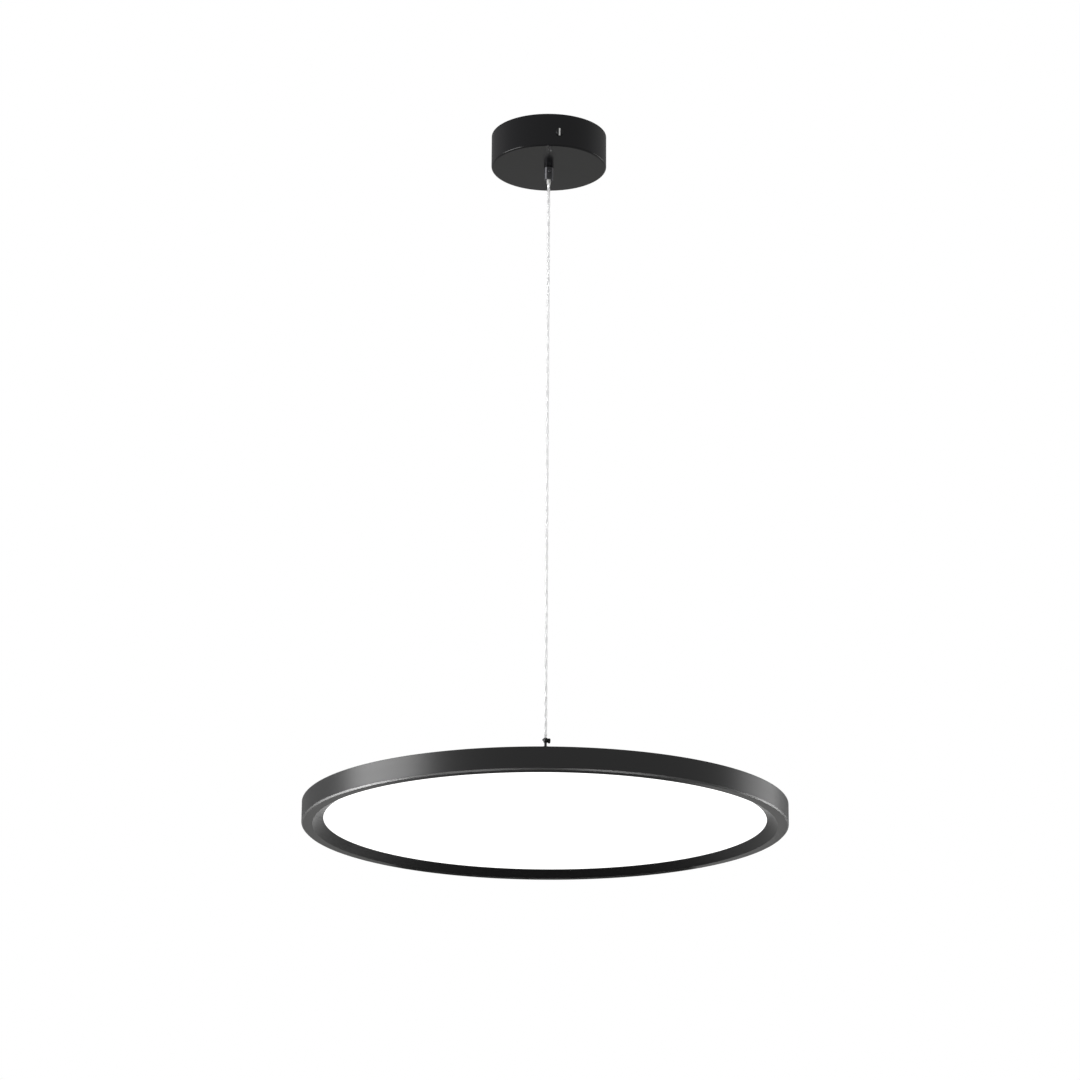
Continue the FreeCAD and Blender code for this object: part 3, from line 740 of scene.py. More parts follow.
# Sprayed and stoved powder: near black, a satin gloss, and a faint ripple. The ripple is drawn at 1.6 mm,
# coarser than the real one, so that it shows.
POWDER_COAT = Finish("powder_coat_black_sprayed", "131315", "101012", roughness=0.2, grain_mm=1.6,
                     roughness_shift=0.02, relief_mm=0.0015, specular=0.24)
# Dyed and sealed anodic layer on a rolled extrusion: near black, satin, with die lines round the ring that
# stretch the light across it. The lines are drawn at 0.9 mm, coarser than the real ones, so that they show.
ANODISED_RING = RingDrawnFinish("aluminium_extruded_black_anodised", "0C0C0D", "09090A", roughness=0.4,
                                grain_mm=0.9, roughness_shift=0.03, relief_mm=0.0012, anisotropy=0.35)
# Rolled sheet under the same black layer: the grain runs straight across the disc.
ANODISED_SHEET = RolledFinish("aluminium_sheet_black_anodised", "1A1A1B", "141415", roughness=0.4,
                              grain_mm=0.8, roughness_shift=0.06, relief_mm=0.001)
# Turned brass under black nickel plate: a dark metal whose tool lines draw the light into streaks along it.
BLACK_NICKEL = RingDrawnFinish("brass_turned_black_nickel", "69696C", "5E5E61", roughness=0.5, grain_mm=0.6,
                               roughness_shift=0.03, metallic=1.0, anisotropy=0.9)
# Cold-formed steel, black oxide and oil: dull black with a mottle.
BLACK_OXIDE = Finish("steel_black_oxide", "18181A", "111112", roughness=0.48, grain_mm=0.5,
                     roughness_shift=0.06, relief_mm=0.002, specular=0.25)
# Cut steel in the screw's slot, near white with fine tool marks: partly bare metal, partly a painted
# highlight that stands in for the streak of light on the screw head.
CUT_STEEL_AND_GLINT = RolledFinish("steel_cut_and_painted_glint", "F8F8F6", "E2E2E0", roughness=0.32, grain_mm=0.25,
                         roughness_shift=0.06, relief_mm=0.002, metallic=1.0)
# Pressed steel with bright zinc: pale grey metal with a blue cast and a soft spangle.
ZINC_STEEL = Finish("steel_pressed_zinc_plated", "C9CCD1", "A3A7AD", roughness=0.36, grain_mm=3.0,
                    roughness_shift=0.08, relief_mm=0.003, metallic=1.0)
# Rolled aluminium as it leaves the mill: pale metal with straight rolling lines.
MILL_ALUMINIUM = RolledFinish("aluminium_sheet_mill", "D4D6D8", "B9BBBE", roughness=0.38, grain_mm=0.6,
                              roughness_shift=0.08, relief_mm=0.002, metallic=1.0)
# Stamped copper under a dull tin plate: a warm grey metal with a soft mottle.
TINNED_COPPER = Finish("copper_stamped_tin_plated", "CFCCC4", "AFA99C", roughness=0.4, grain_mm=0.8,
                       roughness_shift=0.08, relief_mm=0.002, metallic=1.0)
# Extruded soft PVC without pigment: water-clear, with a slightly wavy gloss, and it bends light at its edges.
CLEAR_PVC = Finish("pvc_extruded_clear", "FFFFFF", "FCFDFD", roughness=0.06, grain_mm=4.0,
                   roughness_shift=0.03, ior=1.25, transmission=1.0)
# White insulation of the cord's two cores, extruded: bright and silky.
CORE_WHITE = Finish("core_insulation_white", "FEFEFE", "F9F9F9", roughness=0.38, grain_mm=1.2)
# Moulded milky silicone: white, soft, and a little light passes through.
MILKY_SLEEVE = Finish("silicone_moulded_milky", "F8F8F6", "EFEFEC", roughness=0.34, grain_mm=1.0, ior=1.42,
                      transmission=0.25)
# Extruded opal acrylic, lit from behind: an even white glow with the sheet's faint satin.
OPAL_ACRYLIC = Finish("acrylic_opal_lit", "FFFFFF", "FCFCFB", roughness=0.42, grain_mm=5.0,
                      roughness_shift=0.04, glow=1.0)
# Cast clear acrylic: glassy, with a faint cool cast.
CLEAR_ACRYLIC = Finish("acrylic_cast_clear", "FAFCFC", "F2F6F6", roughness=0.06, grain_mm=2.0,
                       roughness_shift=0.02, ior=1.49, transmission=1.0)
# White polyester film: flat white with a faint gloss.
WHITE_FILM = Finish("polyester_film_white", "F6F6F5", "EEEEEC", roughness=0.5, grain_mm=6.0)
# Cut polyurethane foam: pale, dull, with open cells drawn at 1.2 mm, coarser than the real ones.
PALE_FOAM = CellFinish("polyurethane_foam_cut", "DADAD6", "B9B9B4", roughness=0.9, grain_mm=1.2,
                       relief_mm=0.3)
# White solder mask on a flexible circuit: an even satin white.
SOLDER_MASK = Finish("solder_mask_white", "F0F0EC", "E4E4DF", roughness=0.35, grain_mm=1.5)
# Phosphor in silicone over the emitters: warm yellow.
PHOSPHOR = Finish("phosphor_silicone_yellow", "F2C64A", "E0AE34", roughness=0.3, grain_mm=0.4)
# Moulded polycarbonate case: white and dull, with a spark-eroded texture.
DRIVER_CASE = Finish("polycarbonate_moulded_white", "E4E4E1", "D8D8D4", roughness=0.55, grain_mm=0.7,
                     roughness_shift=0.06, relief_mm=0.02)
# Moulded natural nylon: ivory and slightly waxy.
NATURAL_NYLON = Finish("nylon_moulded_natural", "DCD8C6", "CEC9B4", roughness=0.45, grain_mm=1.0,
                       roughness_shift=0.06, relief_mm=0.01)
# Extruded wire insulation: brown live and blue neutral, green and yellow earth, and white.
SUPPLY_WIRE = SupplyFinish("pvc_insulation_brown_blue", "5E3A22", "2A4F9E", roughness=0.4, grain_mm=1.0)
EARTH_WIRE = EarthFinish("pvc_insulation_green_yellow", "2F7A33", "D9C22E", roughness=0.4, grain_mm=1.0)
WHITE_WIRE = Finish("pvc_insulation_white", "EAEAE6", "DCDCD7", roughness=0.4, grain_mm=1.0)
# Black duvetyn of the studio's flag: no shine.
BLACK_CLOTH = Finish("cotton_duvetyn_black", "080808", "050505", roughness=0.95, grain_mm=1.0,
                     roughness_shift=0.03, specular=0.0)


# Sub-assemblies

@dataclass
class Canopy:
    """Ceiling canopy: the spun cup, its side screws, the cord grip, and the fittings inside."""

    cover: Extent = extent_field("canopy_cover")
    wall: float = 1.2
    lower_round: float = 2.0
    rim_round: float = 0.3
    hole_gap: float = 0.1
    cover_turns: int = 288
    screw_head: float = 8.4
    screw_head_height: float = 2.6
    screw_head_round: float = 2.08
    screw_shank: float = 4.0
    screw_length: float = 9.0
    screw_pitch: float = 0.7
    screw_turns: int = 64
    slot_width: float = 2.0
    slot_floor: float = 0.9
    slot_columns: int = 7
    head_columns: int = 18
    head_rows: int = 41
    grip_thread: float = 8.0
    grip_break: float = 0.9
    grip_bore: float = 1.85
    grip_turns: int = 256
    bell_throat: float = 2.588
    bell_mouth: float = 3.68
    pivot_inset: float = 3.0
    bell_round: float = 0.25
    break_round: float = 0.4
    edge_round: float = 0.2
    seat_round: float = 0.1
    thread_round: float = 0.3
    throat_round: float = 0.6
    fine_rows: int = 96
    fine_rows_foot: float = 1.6
    fine_rows_head: float = 0.3
    dimple_radius: float = 1.55
    dimple_depth: float = 0.42
    dimple_edge: float = 0.08
    dimple_skin: float = 0.1
    set_screw_break: float = 0.25
    key_flats: float = 1.5
    key_depth: float = 1.2
    key_turns: int = 96

    def build(self) -> None:
        """Builds the pieces in sight and dresses the fittings inside."""
        self.build_cover()
        self.build_side_screws()
        self.build_grip()
        self.build_set_screw()
        self.dress_inside()

    def build_cover(self) -> None:
        """Cup: one closed section carried round Z, with the spun round at its lower edge."""
        hole = self.grip_thread / 2 + self.hole_gap
        radius, low, high = self.cover.radius, self.cover.bottom, self.cover.top
        bore, floor = radius - self.wall, low + self.wall
        section = outline([
            (hole, low, self.rim_round), (radius, low, self.lower_round), (radius, high, self.rim_round),
            (bore, high, self.rim_round), (bore, floor, self.lower_round - self.wall),
            (hole, floor, self.rim_round),
        ])
        make_piece("canopy_cover", "canopy", [revolved(section, self.cover_turns)], [POWDER_COAT])

    def slotted_head(self) -> Patch:
        """Domed screw head with a slot along Y and its seat at height 0.

        Column u is the slice at x = radius sin(u), a closed loop: along the seat, up the rim, and over the
        top from one end of the slice's chord to the other. The top's height is the crown, a flat that turns
        down to the rim on a quarter circle, or the slot's floor between the two columns at each of its edges.

        Returns:
            The head's patch, with finish 1 in the slot: near-white steel that is partly a painted highlight.
        """
        radius, fall = self.screw_head / 2, self.screw_head_round
        edge = math.asin(self.slot_width / 2 / radius)
        outer = np.linspace(math.pi / 2, edge, self.head_columns)
        inner = np.linspace(edge, -edge, self.slot_columns)
        angles = np.concatenate((-outer, -inner, outer[::-1]))
        slot_end = self.head_columns + self.slot_columns
        x = radius * np.sin(angles)[None, :]
        chord = radius * np.abs(np.cos(angles))[None, :]
        over = np.sin(np.linspace(-np.pi / 2, np.pi / 2, self.head_rows))[:, None]
        y = over * chord
        beyond = np.clip(np.hypot(x, y) - (radius - fall), 0, fall)
        top = self.screw_head_height - fall + np.sqrt(fall ** 2 - beyond ** 2)
        in_slot = top[:, self.head_columns:slot_end]
        np.minimum(in_slot, self.slot_floor, out=in_slot)
        seat = np.stack(np.broadcast_arrays(x, y[::-1], np.zeros((1, 1))), -1)
        crest = np.stack(np.broadcast_arrays(x, y, top), -1)
        points = np.concatenate((crest, seat))
        # The slot's faces get the near-white cut steel, which is partly a painted highlight.
        bare_and_glint = np.zeros((len(points), len(angles) - 1), int)
        bare_and_glint[:self.head_rows - 1, self.head_columns:slot_end - 1] = 1
        return Patch(points, close_rows=True, close_columns=False, finish=bare_and_glint)

    def build_side_screws(self) -> None:
        """The two screws: a slotted head on the wall and a threaded shank into the ear."""
        height = extent("canopy_side_screws").middle_height
        shank = threaded(self.screw_shank / 2, -self.screw_length, 0.0, self.screw_pitch, self.screw_turns)
        patches = []
        for side, pointing in ((-1, Pointing.FRONT), (1, Pointing.BACK)):
            seat = (0.0, side * self.cover.radius, height)
            patches += [self.slotted_head().placed(seat, pointing), shank.placed(seat, pointing)]
        # Finish 1, the slot's near-white steel, is partly a painted highlight.
        make_piece("canopy_side_screws", "canopy", patches, [BLACK_OXIDE, CUT_STEEL_AND_GLINT])

    def build_grip(self) -> None:
        """Cord grip: a turned section with a bell mouth, and a round dimple pressed in for the set screw.

        Its wall has fine rows where the dimple lies.
        """
        grip = extent("cord_grip")
        radius, mouth, shoulder = grip.radius, grip.bottom, self.cover.bottom
        thread, throat_top = self.grip_thread / 2, extent("cord_tail").bottom
        rows, low, high = self.fine_rows, mouth + self.fine_rows_foot, shoulder - self.fine_rows_head
        wall = np.column_stack((np.full(rows, radius), np.linspace(low, high, rows), np.zeros(rows)))
        section = outline(np.vstack((
            [(self.bell_mouth, mouth, self.bell_round), (radius - self.grip_break, mouth, self.edge_round),
             (radius, mouth + self.grip_break, self.break_round)],
            wall,
            [(radius, shoulder, self.seat_round), (thread, shoulder, 0),
             (thread, grip.top, self.thread_round), (self.grip_bore, grip.top, self.edge_round),
             (self.grip_bore, throat_top, 0), (self.bell_throat, throat_top, 0),
             (self.bell_throat, mouth + self.pivot_inset, self.throat_round)],
        )))
        body = revolved(section, self.grip_turns)
        x, y, z = np.moveaxis(body.points, -1, 0)
        off_axis = np.hypot(x, z - extent("grip_set_screw").middle_height)
        pressed = 1 - smooth_step(off_axis - self.dimple_radius, -self.dimple_edge, self.dimple_edge)
        outside = (np.hypot(x, y) > radius - self.dimple_skin) & (y < 0)
        body.points[..., 1] += self.dimple_depth * pressed * outside
        make_piece("cord_grip", "canopy", [body], [BLACK_NICKEL])

    def build_set_screw(self) -> None:
        """Grub screw: a round rod with a key socket, whose wall is a hexagon round the turn."""
        screw = extent("grip_set_screw")
        radius, face, foot = screw.radius, -screw.low[1], -screw.high[1]
        key = hexagon_radius(self.key_flats, self.key_turns)
        axis, rim = 0 * key, np.full_like(key, radius)
        socket, broken = face - self.key_depth, self.set_screw_break
        radii = np.vstack((axis, key, key, rim - broken, rim, rim, axis))
        heights = np.array([socket, socket, face, face, face - broken, foot, foot])
        rod = turned(radii, heights[:, None], False).placed((0.0, 0.0, screw.middle_height), Pointing.FRONT)
        make_piece("grip_set_screw", "canopy", [rod], [ZINC_STEEL])

    def dress_inside(self) -> None:
        """Finishes of the plate, the driver, the terminals and the wires."""
        dress({
            ZINC_STEEL: ("ceiling_plate", "grip_washer", "grip_nut", "driver_screws", "terminal_block_screws",
                         "terminal_screws", "earth_screw"),
            TINNED_COPPER: ("earth_tag",),
            DRIVER_CASE: ("led_driver",),
            NATURAL_NYLON: ("terminal_block",),
            SUPPLY_WIRE: ("supply_leads",),
            EARTH_WIRE: ("earth_lead",),
            CORE_WHITE: ("cord_tail",),
        })


@dataclass
class PendantCord:
    """The cord: a clear jacket over two twisted white cores, and the sleeve that eases its bend at the grip.

    The points of its route are metres.
    """

    route: tuple[Spot, ...] = (
        (0.0, 0.0, -0.0554), (0.0, 0.0, -0.0746), (0.0, 0.0, -0.6611), (0.0, 0.0, -0.68034))
    route_steps: int = 220
    diameter: float = 3.2
    jacket_sides: int = 32
    core_radius: float = 0.74
    core_offset: float = 0.76
    core_sides: int = 16
    core_inset: float = 0.4
    twist_pitch: float = 26.0
    tip_flat: float = 0.02
    sleeve_bore: float = 1.65
    sleeve_round: float = 0.22
    sleeve_turns: int = 96
    neck_turns: int = 64
    dome_steps: int = 9
    travel: float = 400.0

    def build(self) -> None:
        line = smooth_route(self.route, self.route_steps)
        sleeve = self.build_post("cord_sleeve", self.sleeve_bore, self.sleeve_turns, MILKY_SLEEVE)
        neck = self.build_post("cord_neck", 0.0, self.neck_turns, CORE_WHITE)
        tip = self.tip_share(line)
        tubes = [tube(line, self.diameter / 2 * tip, self.jacket_sides)]
        jacket = make_piece("pendant_cord", "cord", tubes, [CLEAR_PVC])
        cores = self.build_cores(line, tip)
        for piece in (jacket, cores):
            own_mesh(piece)

    def tip_share(self, line: np.ndarray) -> np.ndarray:
        """Thickness along the line: a half ball at its upper end that turns under the sleeve, and full below.

        Args:
            line: the cord's line.

        Returns:
            The share of the full radius at each of its points.
        """
        radius = self.diameter / 2
        from_top = np.clip(line[0, 2] - line[:, 2], self.tip_flat, radius)
        return np.sqrt(radius ** 2 - (radius - from_top) ** 2) / radius

    def build_cores(self, line: np.ndarray, tip: np.ndarray) -> bpy.types.Object:
        """Cores: two tubes on a double helix about the line, half a turn apart, one turn every pitch.

        Their offset and radius shrink with the jacket at its rounded end.

        Args:
            line: the cord's line.
            tip: the share of the full thickness at each of its points.

        Returns:
            The cores' piece.
        """
        inside = (line[:, 2] < line[0, 2] - self.core_inset) & (line[:, 2] > line[-1, 2] + self.core_inset)
        line, tip = line[inside], tip[inside]
        turn = 2 * np.pi * line[:, 2] / self.twist_pitch
        patches = []
        for half in (0, np.pi):
            off = np.column_stack((np.cos(turn + half), np.sin(turn + half), np.zeros(len(turn))))
            path = line + self.core_offset * tip[:, None] * off
            patches.append(tube(path, self.core_radius * tip, self.core_sides))
        return make_piece("cord_cores", "cord", patches, [CORE_WHITE])

    def build_post(self, node: str, bore: float, turns: int, finish: Finish) -> bpy.types.Object:
        """The sleeve or the cord inside it: a post with a rounded foot, domed about the upper bending point.

        Args:
            node: the CAD node that gives its height and radius.
            bore: radius of its bore, or 0 for none.
            turns: points round the turn.
            finish: its finish.

        Returns:
            The post's piece.
        """
        box = extent(node)
        ball = extent("cord_sleeve").radius
        pivot = extent("cord_neck").top - ball
        radii = np.linspace(box.radius, bore, self.dome_steps)
        dome = np.column_stack((radii, pivot + np.sqrt(ball ** 2 - radii ** 2)))
        foot = outline([(bore, box.bottom, self.sleeve_round if bore else 0),
                        (box.radius, box.bottom, self.sleeve_round), (box.radius, pivot)], False)
        post = revolved(np.vstack((foot, dome)), turns, bore > 0)
        return make_piece(node, "sleeve", [post], [finish])


@dataclass
class CordClamp:
    """Clamp at the cord's lower end: barrel, waist and cup in one, a thumb screw, and the swivel's ring."""

    box: Extent = extent_field("cord_clamp")
    screw: Extent = extent_field("clamp_screw")
    barrel_wall: float = 1.4
    barrel_roof: float = 2.5
    barrel_break: float = 0.8
    neck_height: float = 9.5
    neck_radius: float = 2.25
    waist_radius: float = 1.4
    socket_radius: float = 1.7
    socket_depth: float = 4.2
    lead_bore: float = 0.9
    inner_round: float = 0.15
    edge_round: float = 0.2
    shoulder_round: float = 0.3
    waist_round: float = 0.5
    cup_round: float = 0.4
    mouth_round: float = 0.35
    body_turns: int = 128
    side_root: float = 0.1
    boss_radius: float = 1.8
    boss_round: float = 0.12
    boss_turns: int = 48
    tab_radius: float = 0.9
    tab_round: float = 0.3
    tab_turns: int = 40
    tab_drop: float = 2.0
    tab_reach: float = 3.3
    knurl_count: int = 28
    knurl_steps: int = 8
    knurl_depth: float = 0.16
    head_length: float = 2.4
    head_break: float = 0.3
    dish_rim: float = 0.9
    dish_share: float = 0.35
    dish_depth: float = 0.35
    shank_radius: float = 1.0
    shank_gap: float = 0.05
    stem_radius: float = 2.1
    ring_gap: float = 0.08
    ring_turns: int = 96

    def build(self) -> None:
        """Builds the three pieces."""
        self.build_body()
        self.build_screw()
        self.build_ring()

    def build_body(self) -> None:
        """Body: a turned section, with the screw's boss on one side of the cup and a tab on the other."""
        top, foot, radius = self.box.top, self.box.bottom, self.box.radius
        shoulder = top - self.neck_height
        roof = shoulder - self.barrel_roof
        bore = radius - self.barrel_wall
        cup = top - self.socket_depth
        waist_top = cup - (self.neck_radius - self.waist_radius)
        section = outline([
            (bore, roof), (bore, foot, self.inner_round), (radius, foot, self.edge_round),
            (radius, shoulder - self.barrel_break, self.shoulder_round),
            (radius - self.barrel_break, shoulder, self.shoulder_round),
            (self.waist_radius, shoulder, self.waist_round),
            (self.waist_radius, waist_top, self.shoulder_round), (self.neck_radius, cup, self.cup_round),
            (self.neck_radius, top, self.mouth_round),
            (self.socket_radius, top, self.inner_round), (self.socket_radius, cup), (self.lead_bore, cup),
            (self.lead_bore, roof),
        ])
        root = self.socket_radius + self.side_root
        boss_end = self.screw.high[0] - self.head_length
        boss = drum(self.boss_radius, root, boss_end, self.shank_radius + self.shank_gap, self.boss_round,
                    self.boss_turns)
        tab = drum(self.tab_radius, root, self.tab_reach, 0.0, self.tab_round, self.tab_turns)
        patches = [
            revolved(section, self.body_turns),
            boss.placed((0.0, 0.0, self.screw.middle_height), Pointing.RIGHT),
            tab.placed((0.0, 0.0, top - self.tab_drop), Pointing.LEFT),
        ]
        make_piece("cord_clamp", "clamp", patches, [POWDER_COAT])

    def build_screw(self) -> None:
        """Thumb screw: the head's radius dips between its ridges as a rectified sine round the turn."""
        turn = full_turn(self.knurl_steps * self.knurl_count)[None, :]
        plain = np.ones_like(turn)
        radius = float(self.screw.high[2] - self.screw.low[2]) / 2
        ridged = radius - self.knurl_depth * (1 - np.abs(np.sin(turn * self.knurl_count / 2)))
        shank, broken = self.shank_radius * plain, (radius - self.head_break) * plain
        radii = np.vstack((
            0 * plain, shank, shank, broken, ridged, ridged, broken, (radius - self.dish_rim) * plain,
            self.dish_share * radius * plain, 0 * plain,
        ))
        end, tip = float(self.screw.high[0]), float(self.screw.low[0])
        start, dish = end - self.head_length, end - self.dish_depth
        heights = np.array([tip, tip, start, start, start + self.head_break, end - self.head_break, end, end,
                            dish, dish])
        screw = turned(radii, heights[:, None], False)
        screw = screw.placed((0.0, 0.0, self.screw.middle_height), Pointing.RIGHT)
        make_piece("clamp_screw", "clamp", [screw], [BLACK_OXIDE])

    def build_ring(self) -> None:
        """Ring of the swivel, with broken edges."""
        box = extent("swivel_ring")
        bore = self.stem_radius + self.ring_gap
        corners = ((bore, box.bottom), (box.radius, box.bottom), (box.radius, box.top), (bore, box.top))
        section = outline([(*corner, self.edge_round) for corner in corners])
        make_piece("swivel_ring", "clamp", [revolved(section, self.ring_turns)], [BLACK_OXIDE])


@dataclass
class LampDisc:
    """The lit disc: the ring, the back plate and its screws, the stem with its nut, and the optical stack."""

    ring: Extent = extent_field("frame_ring")
    plate: Extent = extent_field("back_plate")
    ring_wall: float = 2.0
    ring_bevel: float = 1.6
    ring_turns: int = 640
    lip_width: float = 9.6
    lip_thickness: float = 1.6
    lip_round: float = 0.5
    bevel_round: float = 0.4
    reveal_width: float = 11.2
    reveal_rise: float = 7.2
    reveal_edge: float = 0.6
    shoulder: float = 2.0
    rim_width: float = 1.0
    rim_break: float = 0.4
    rim_round: float = 0.15
    rebate_round: float = 0.1
    channel_width: float = 2.6
    strip_gap: float = 0.05
    plate_hole_gap: float = 0.1
    plate_round: float = 0.25
    plate_turns: int = 384
    plate_screws: int = 8
    plate_screw_head: float = 4.5
    plate_screw_diameter: float = 2.5
    hub_screws: int = 4
    hub_screw_head: float = 5.5
    hub_screw_diameter: float = 3.0
    hub_screw_circle: float = 76.0
    screw_pitch: float = 0.5
    screw_turns: int = 32
    stem_radius: float = 2.1
    stem_bore: float = 0.9
    stem_bore_round: float = 0.2
    stem_head_height: float = 1.6
    stem_head_round: float = 0.25
    stem_foot_round: float = 0.15
    stem_thread: float = 14.0
    stem_pitch: float = 0.7
    stem_turns: int = 96
    thread_turns: int = 64
    relief_depth: float = 0.15
    relief_height: float = 0.3
    relief_foot_round: float = 0.05
    relief_top_round: float = 0.1
    thread_gap: float = 0.05
    washer_round: float = 0.2
    nut_flats: float = 9.0
    diffuser_round: float = 0.2
    diffuser_turns: int = 256

    def build(self) -> None:
        """Builds the pieces in sight and dresses the stack inside."""
        self.build_ring()
        self.build_back_plate()
        self.build_screws()
        self.build_stem()
        self.build_diffuser()
        self.dress_inside()

    def build_ring(self) -> None:
        """Ring: one extrusion section carried round Z, with a small round on each of its edges."""
        radius, base, top = self.ring.radius, self.ring.bottom, self.ring.top
        strip = extent("led_strip")
        wall = radius - self.ring_wall
        channel = wall - self.channel_width
        rebate = radius - self.rim_width
        lip_outer = radius - self.ring_bevel
        lip_inner = lip_outer - self.lip_width
        reveal = lip_inner - self.reveal_width
        lip_top, ledge = base + self.lip_thickness, base + self.reveal_rise
        slope = math.atan2(self.reveal_rise - self.reveal_edge, self.reveal_width)
        lift = self.lip_thickness / math.cos(slope)
        ledge_outer = lip_inner - (self.reveal_rise - lift) / math.tan(slope)
        floor_inner = lip_inner - (self.lip_thickness - lift) / math.tan(slope)
        seat = self.plate.bottom
        skirt, skirt_foot = strip.radius, strip.bottom - self.strip_gap
        section = outline([
            (lip_inner, base, self.lip_round), (lip_outer, base, self.bevel_round),
            (radius, base + self.ring_bevel, self.bevel_round),
            (radius, top - self.rim_break, self.rim_round), (radius - self.rim_break, top, self.rim_round),
            (rebate, top, self.rebate_round),
            (rebate, seat), (skirt, seat), (skirt, skirt_foot), (channel, skirt_foot),
            (channel, seat - self.shoulder), (wall, seat - self.shoulder), (wall, lip_top),
            (floor_inner, lip_top), (ledge_outer, ledge), (reveal, ledge),
            (reveal, ledge - self.reveal_edge, self.rim_round),
        ])
        ring = make_piece("frame_ring", "lamp", [revolved(section, self.ring_turns)], [ANODISED_RING])
        grid_lit().objects.link(ring)

    def build_back_plate(self) -> None:
        """Back plate: a flat sheet with a blanked upper edge."""
        hole = self.stem_radius + self.plate_hole_gap
        radius, low, high = self.plate.radius, self.plate.bottom, self.plate.top
        section = outline([(hole, low), (radius, low), (radius, high, self.plate_round), (hole, high)])
        make_piece("back_plate", "lamp", [revolved(section, self.plate_turns)], [ANODISED_SHEET])

    def build_screws(self) -> None:
        """Rim and hub screws: pan heads with a cross recess on threaded shanks."""
        channel_middle = self.ring.radius - self.ring_wall - self.channel_width / 2
        seat = self.plate.top
        for name, count, head, diameter, away in (
                ("back_plate_screws", self.plate_screws, self.plate_screw_head, self.plate_screw_diameter,
                 channel_middle),
                ("hub_screws", self.hub_screws, self.hub_screw_head, self.hub_screw_diameter,
                 self.hub_screw_circle / 2)):
            box = extent(name)
            cap = PanHead().patch(head, box.top - seat).placed((away, 0.0, seat))
            shank = threaded(diameter / 2, box.bottom, seat, self.screw_pitch, self.screw_turns)
            screw = (cap, shank.placed((away, 0.0, 0.0)))
            half_step = 180.0 / count
            patches = [copy for patch in screw for copy in patch.around(count, half_step)]
            make_piece(name, "lamp", patches, [BLACK_OXIDE])

    def build_stem(self) -> None:
        """Stem: a tube with a turned head, a thread at its foot, and the washer and nut on the back plate."""
        box = extent("stem_tube")
        radius, bore = self.stem_radius, self.stem_bore
        head_foot = box.top - self.stem_head_height
        thread_top = self.plate.top + self.stem_thread
        section = outline([
            (bore, thread_top), (radius - self.relief_depth, thread_top, self.relief_foot_round),
            (radius, thread_top + self.relief_height, self.relief_top_round), (radius, head_foot),
            (box.radius, head_foot, self.stem_foot_round), (box.radius, box.top, self.stem_head_round),
            (bore, box.top, self.stem_bore_round),
        ])
        thread = threaded(radius, box.bottom, thread_top, self.stem_pitch, self.thread_turns)
        make_piece("stem_tube", "lamp", [revolved(section, self.stem_turns), thread], [POWDER_COAT])
        washer, nut, hole = extent("stem_washer"), extent("stem_nut"), radius + self.thread_gap
        ring = drum(washer.radius, washer.bottom, washer.top, hole, self.washer_round, self.stem_turns)
        make_piece("stem_washer", "lamp", [ring], [BLACK_OXIDE])
        body = hex_nut(self.nut_flats, nut.bottom, nut.top, hole, self.stem_turns)
        make_piece("stem_nut", "lamp", [body], [BLACK_OXIDE])

    def build_diffuser(self) -> None:
        """Diffuser: an opal sheet with sawn and softened edges."""
        box = extent("diffuser")
        sheet = drum(box.radius, box.bottom, box.top, 0.0, self.diffuser_round, self.diffuser_turns)
        make_piece("diffuser", "lamp", [sheet], [OPAL_ACRYLIC])

    def dress_inside(self) -> None:
        """Finishes of the stack and the wiring inside the disc."""
        dress({
            MILL_ALUMINIUM: ("hub_plate",),
            CLEAR_ACRYLIC: ("light_guide",),
            WHITE_FILM: ("reflector_sheet",),
            PALE_FOAM: ("foam_pad",),
            SOLDER_MASK: ("led_strip",),
            PHOSPHOR: ("led_chips",),
            NATURAL_NYLON: ("strip_connector",),
            WHITE_WIRE: ("lamp_lead",),
        })


# Studio

@dataclass
class PhotoCamera:
    """Camera of the photograph: a pinhole fitted to the outlines of the canopy and the disc.

    Lengths are millimetres, but the focal length and the frame's width are pixels, and turns are degrees.
    """

    focal_px: float = 3607.5
    frame_px: float = 1080.0
    sensor: float = 36.0
    distance: float = 3621.4
    height: float = -1611.1
    sideways: float = -7.03
    azimuth: float = 10.2
    pitch: float = 17.615
    roll: float = 0.362

    def across(self) -> Vector:
        """Horizontal direction to the right of the view."""
        turn = math.radians(self.azimuth)
        return Vector((math.cos(turn), -math.sin(turn), 0))

    def away(self) -> Vector:
        """Horizontal direction of the view."""
        turn = math.radians(self.azimuth)
        return Vector((math.sin(turn), math.cos(turn), 0))

    def build(self) -> None:
        """Makes the camera and sets it as the scene's."""
        tilt, roll = math.radians(self.pitch), math.radians(self.roll)
        view = self.away() * math.cos(tilt) + Vector((0, 0, math.sin(tilt)))
        level_up = self.across().cross(view)
        right = self.across() * math.cos(roll) + level_up * math.sin(roll)
        up = level_up * math.cos(roll) - self.across() * math.sin(roll)
        place = self.across() * self.sideways - self.away() * self.distance + Vector((0, 0, self.height))
        data = bpy.data.cameras.new("photo_camera")
        data.sensor_width = self.sensor
        data.lens = self.sensor * self.focal_px / self.frame_px
        camera = add_object("photo_camera", data)
        turn = Matrix((right, up, -view)).transposed()
        camera.matrix_world = Matrix.Translation(place * MM) @ turn.to_4x4()
        bpy.context.scene.camera = camera


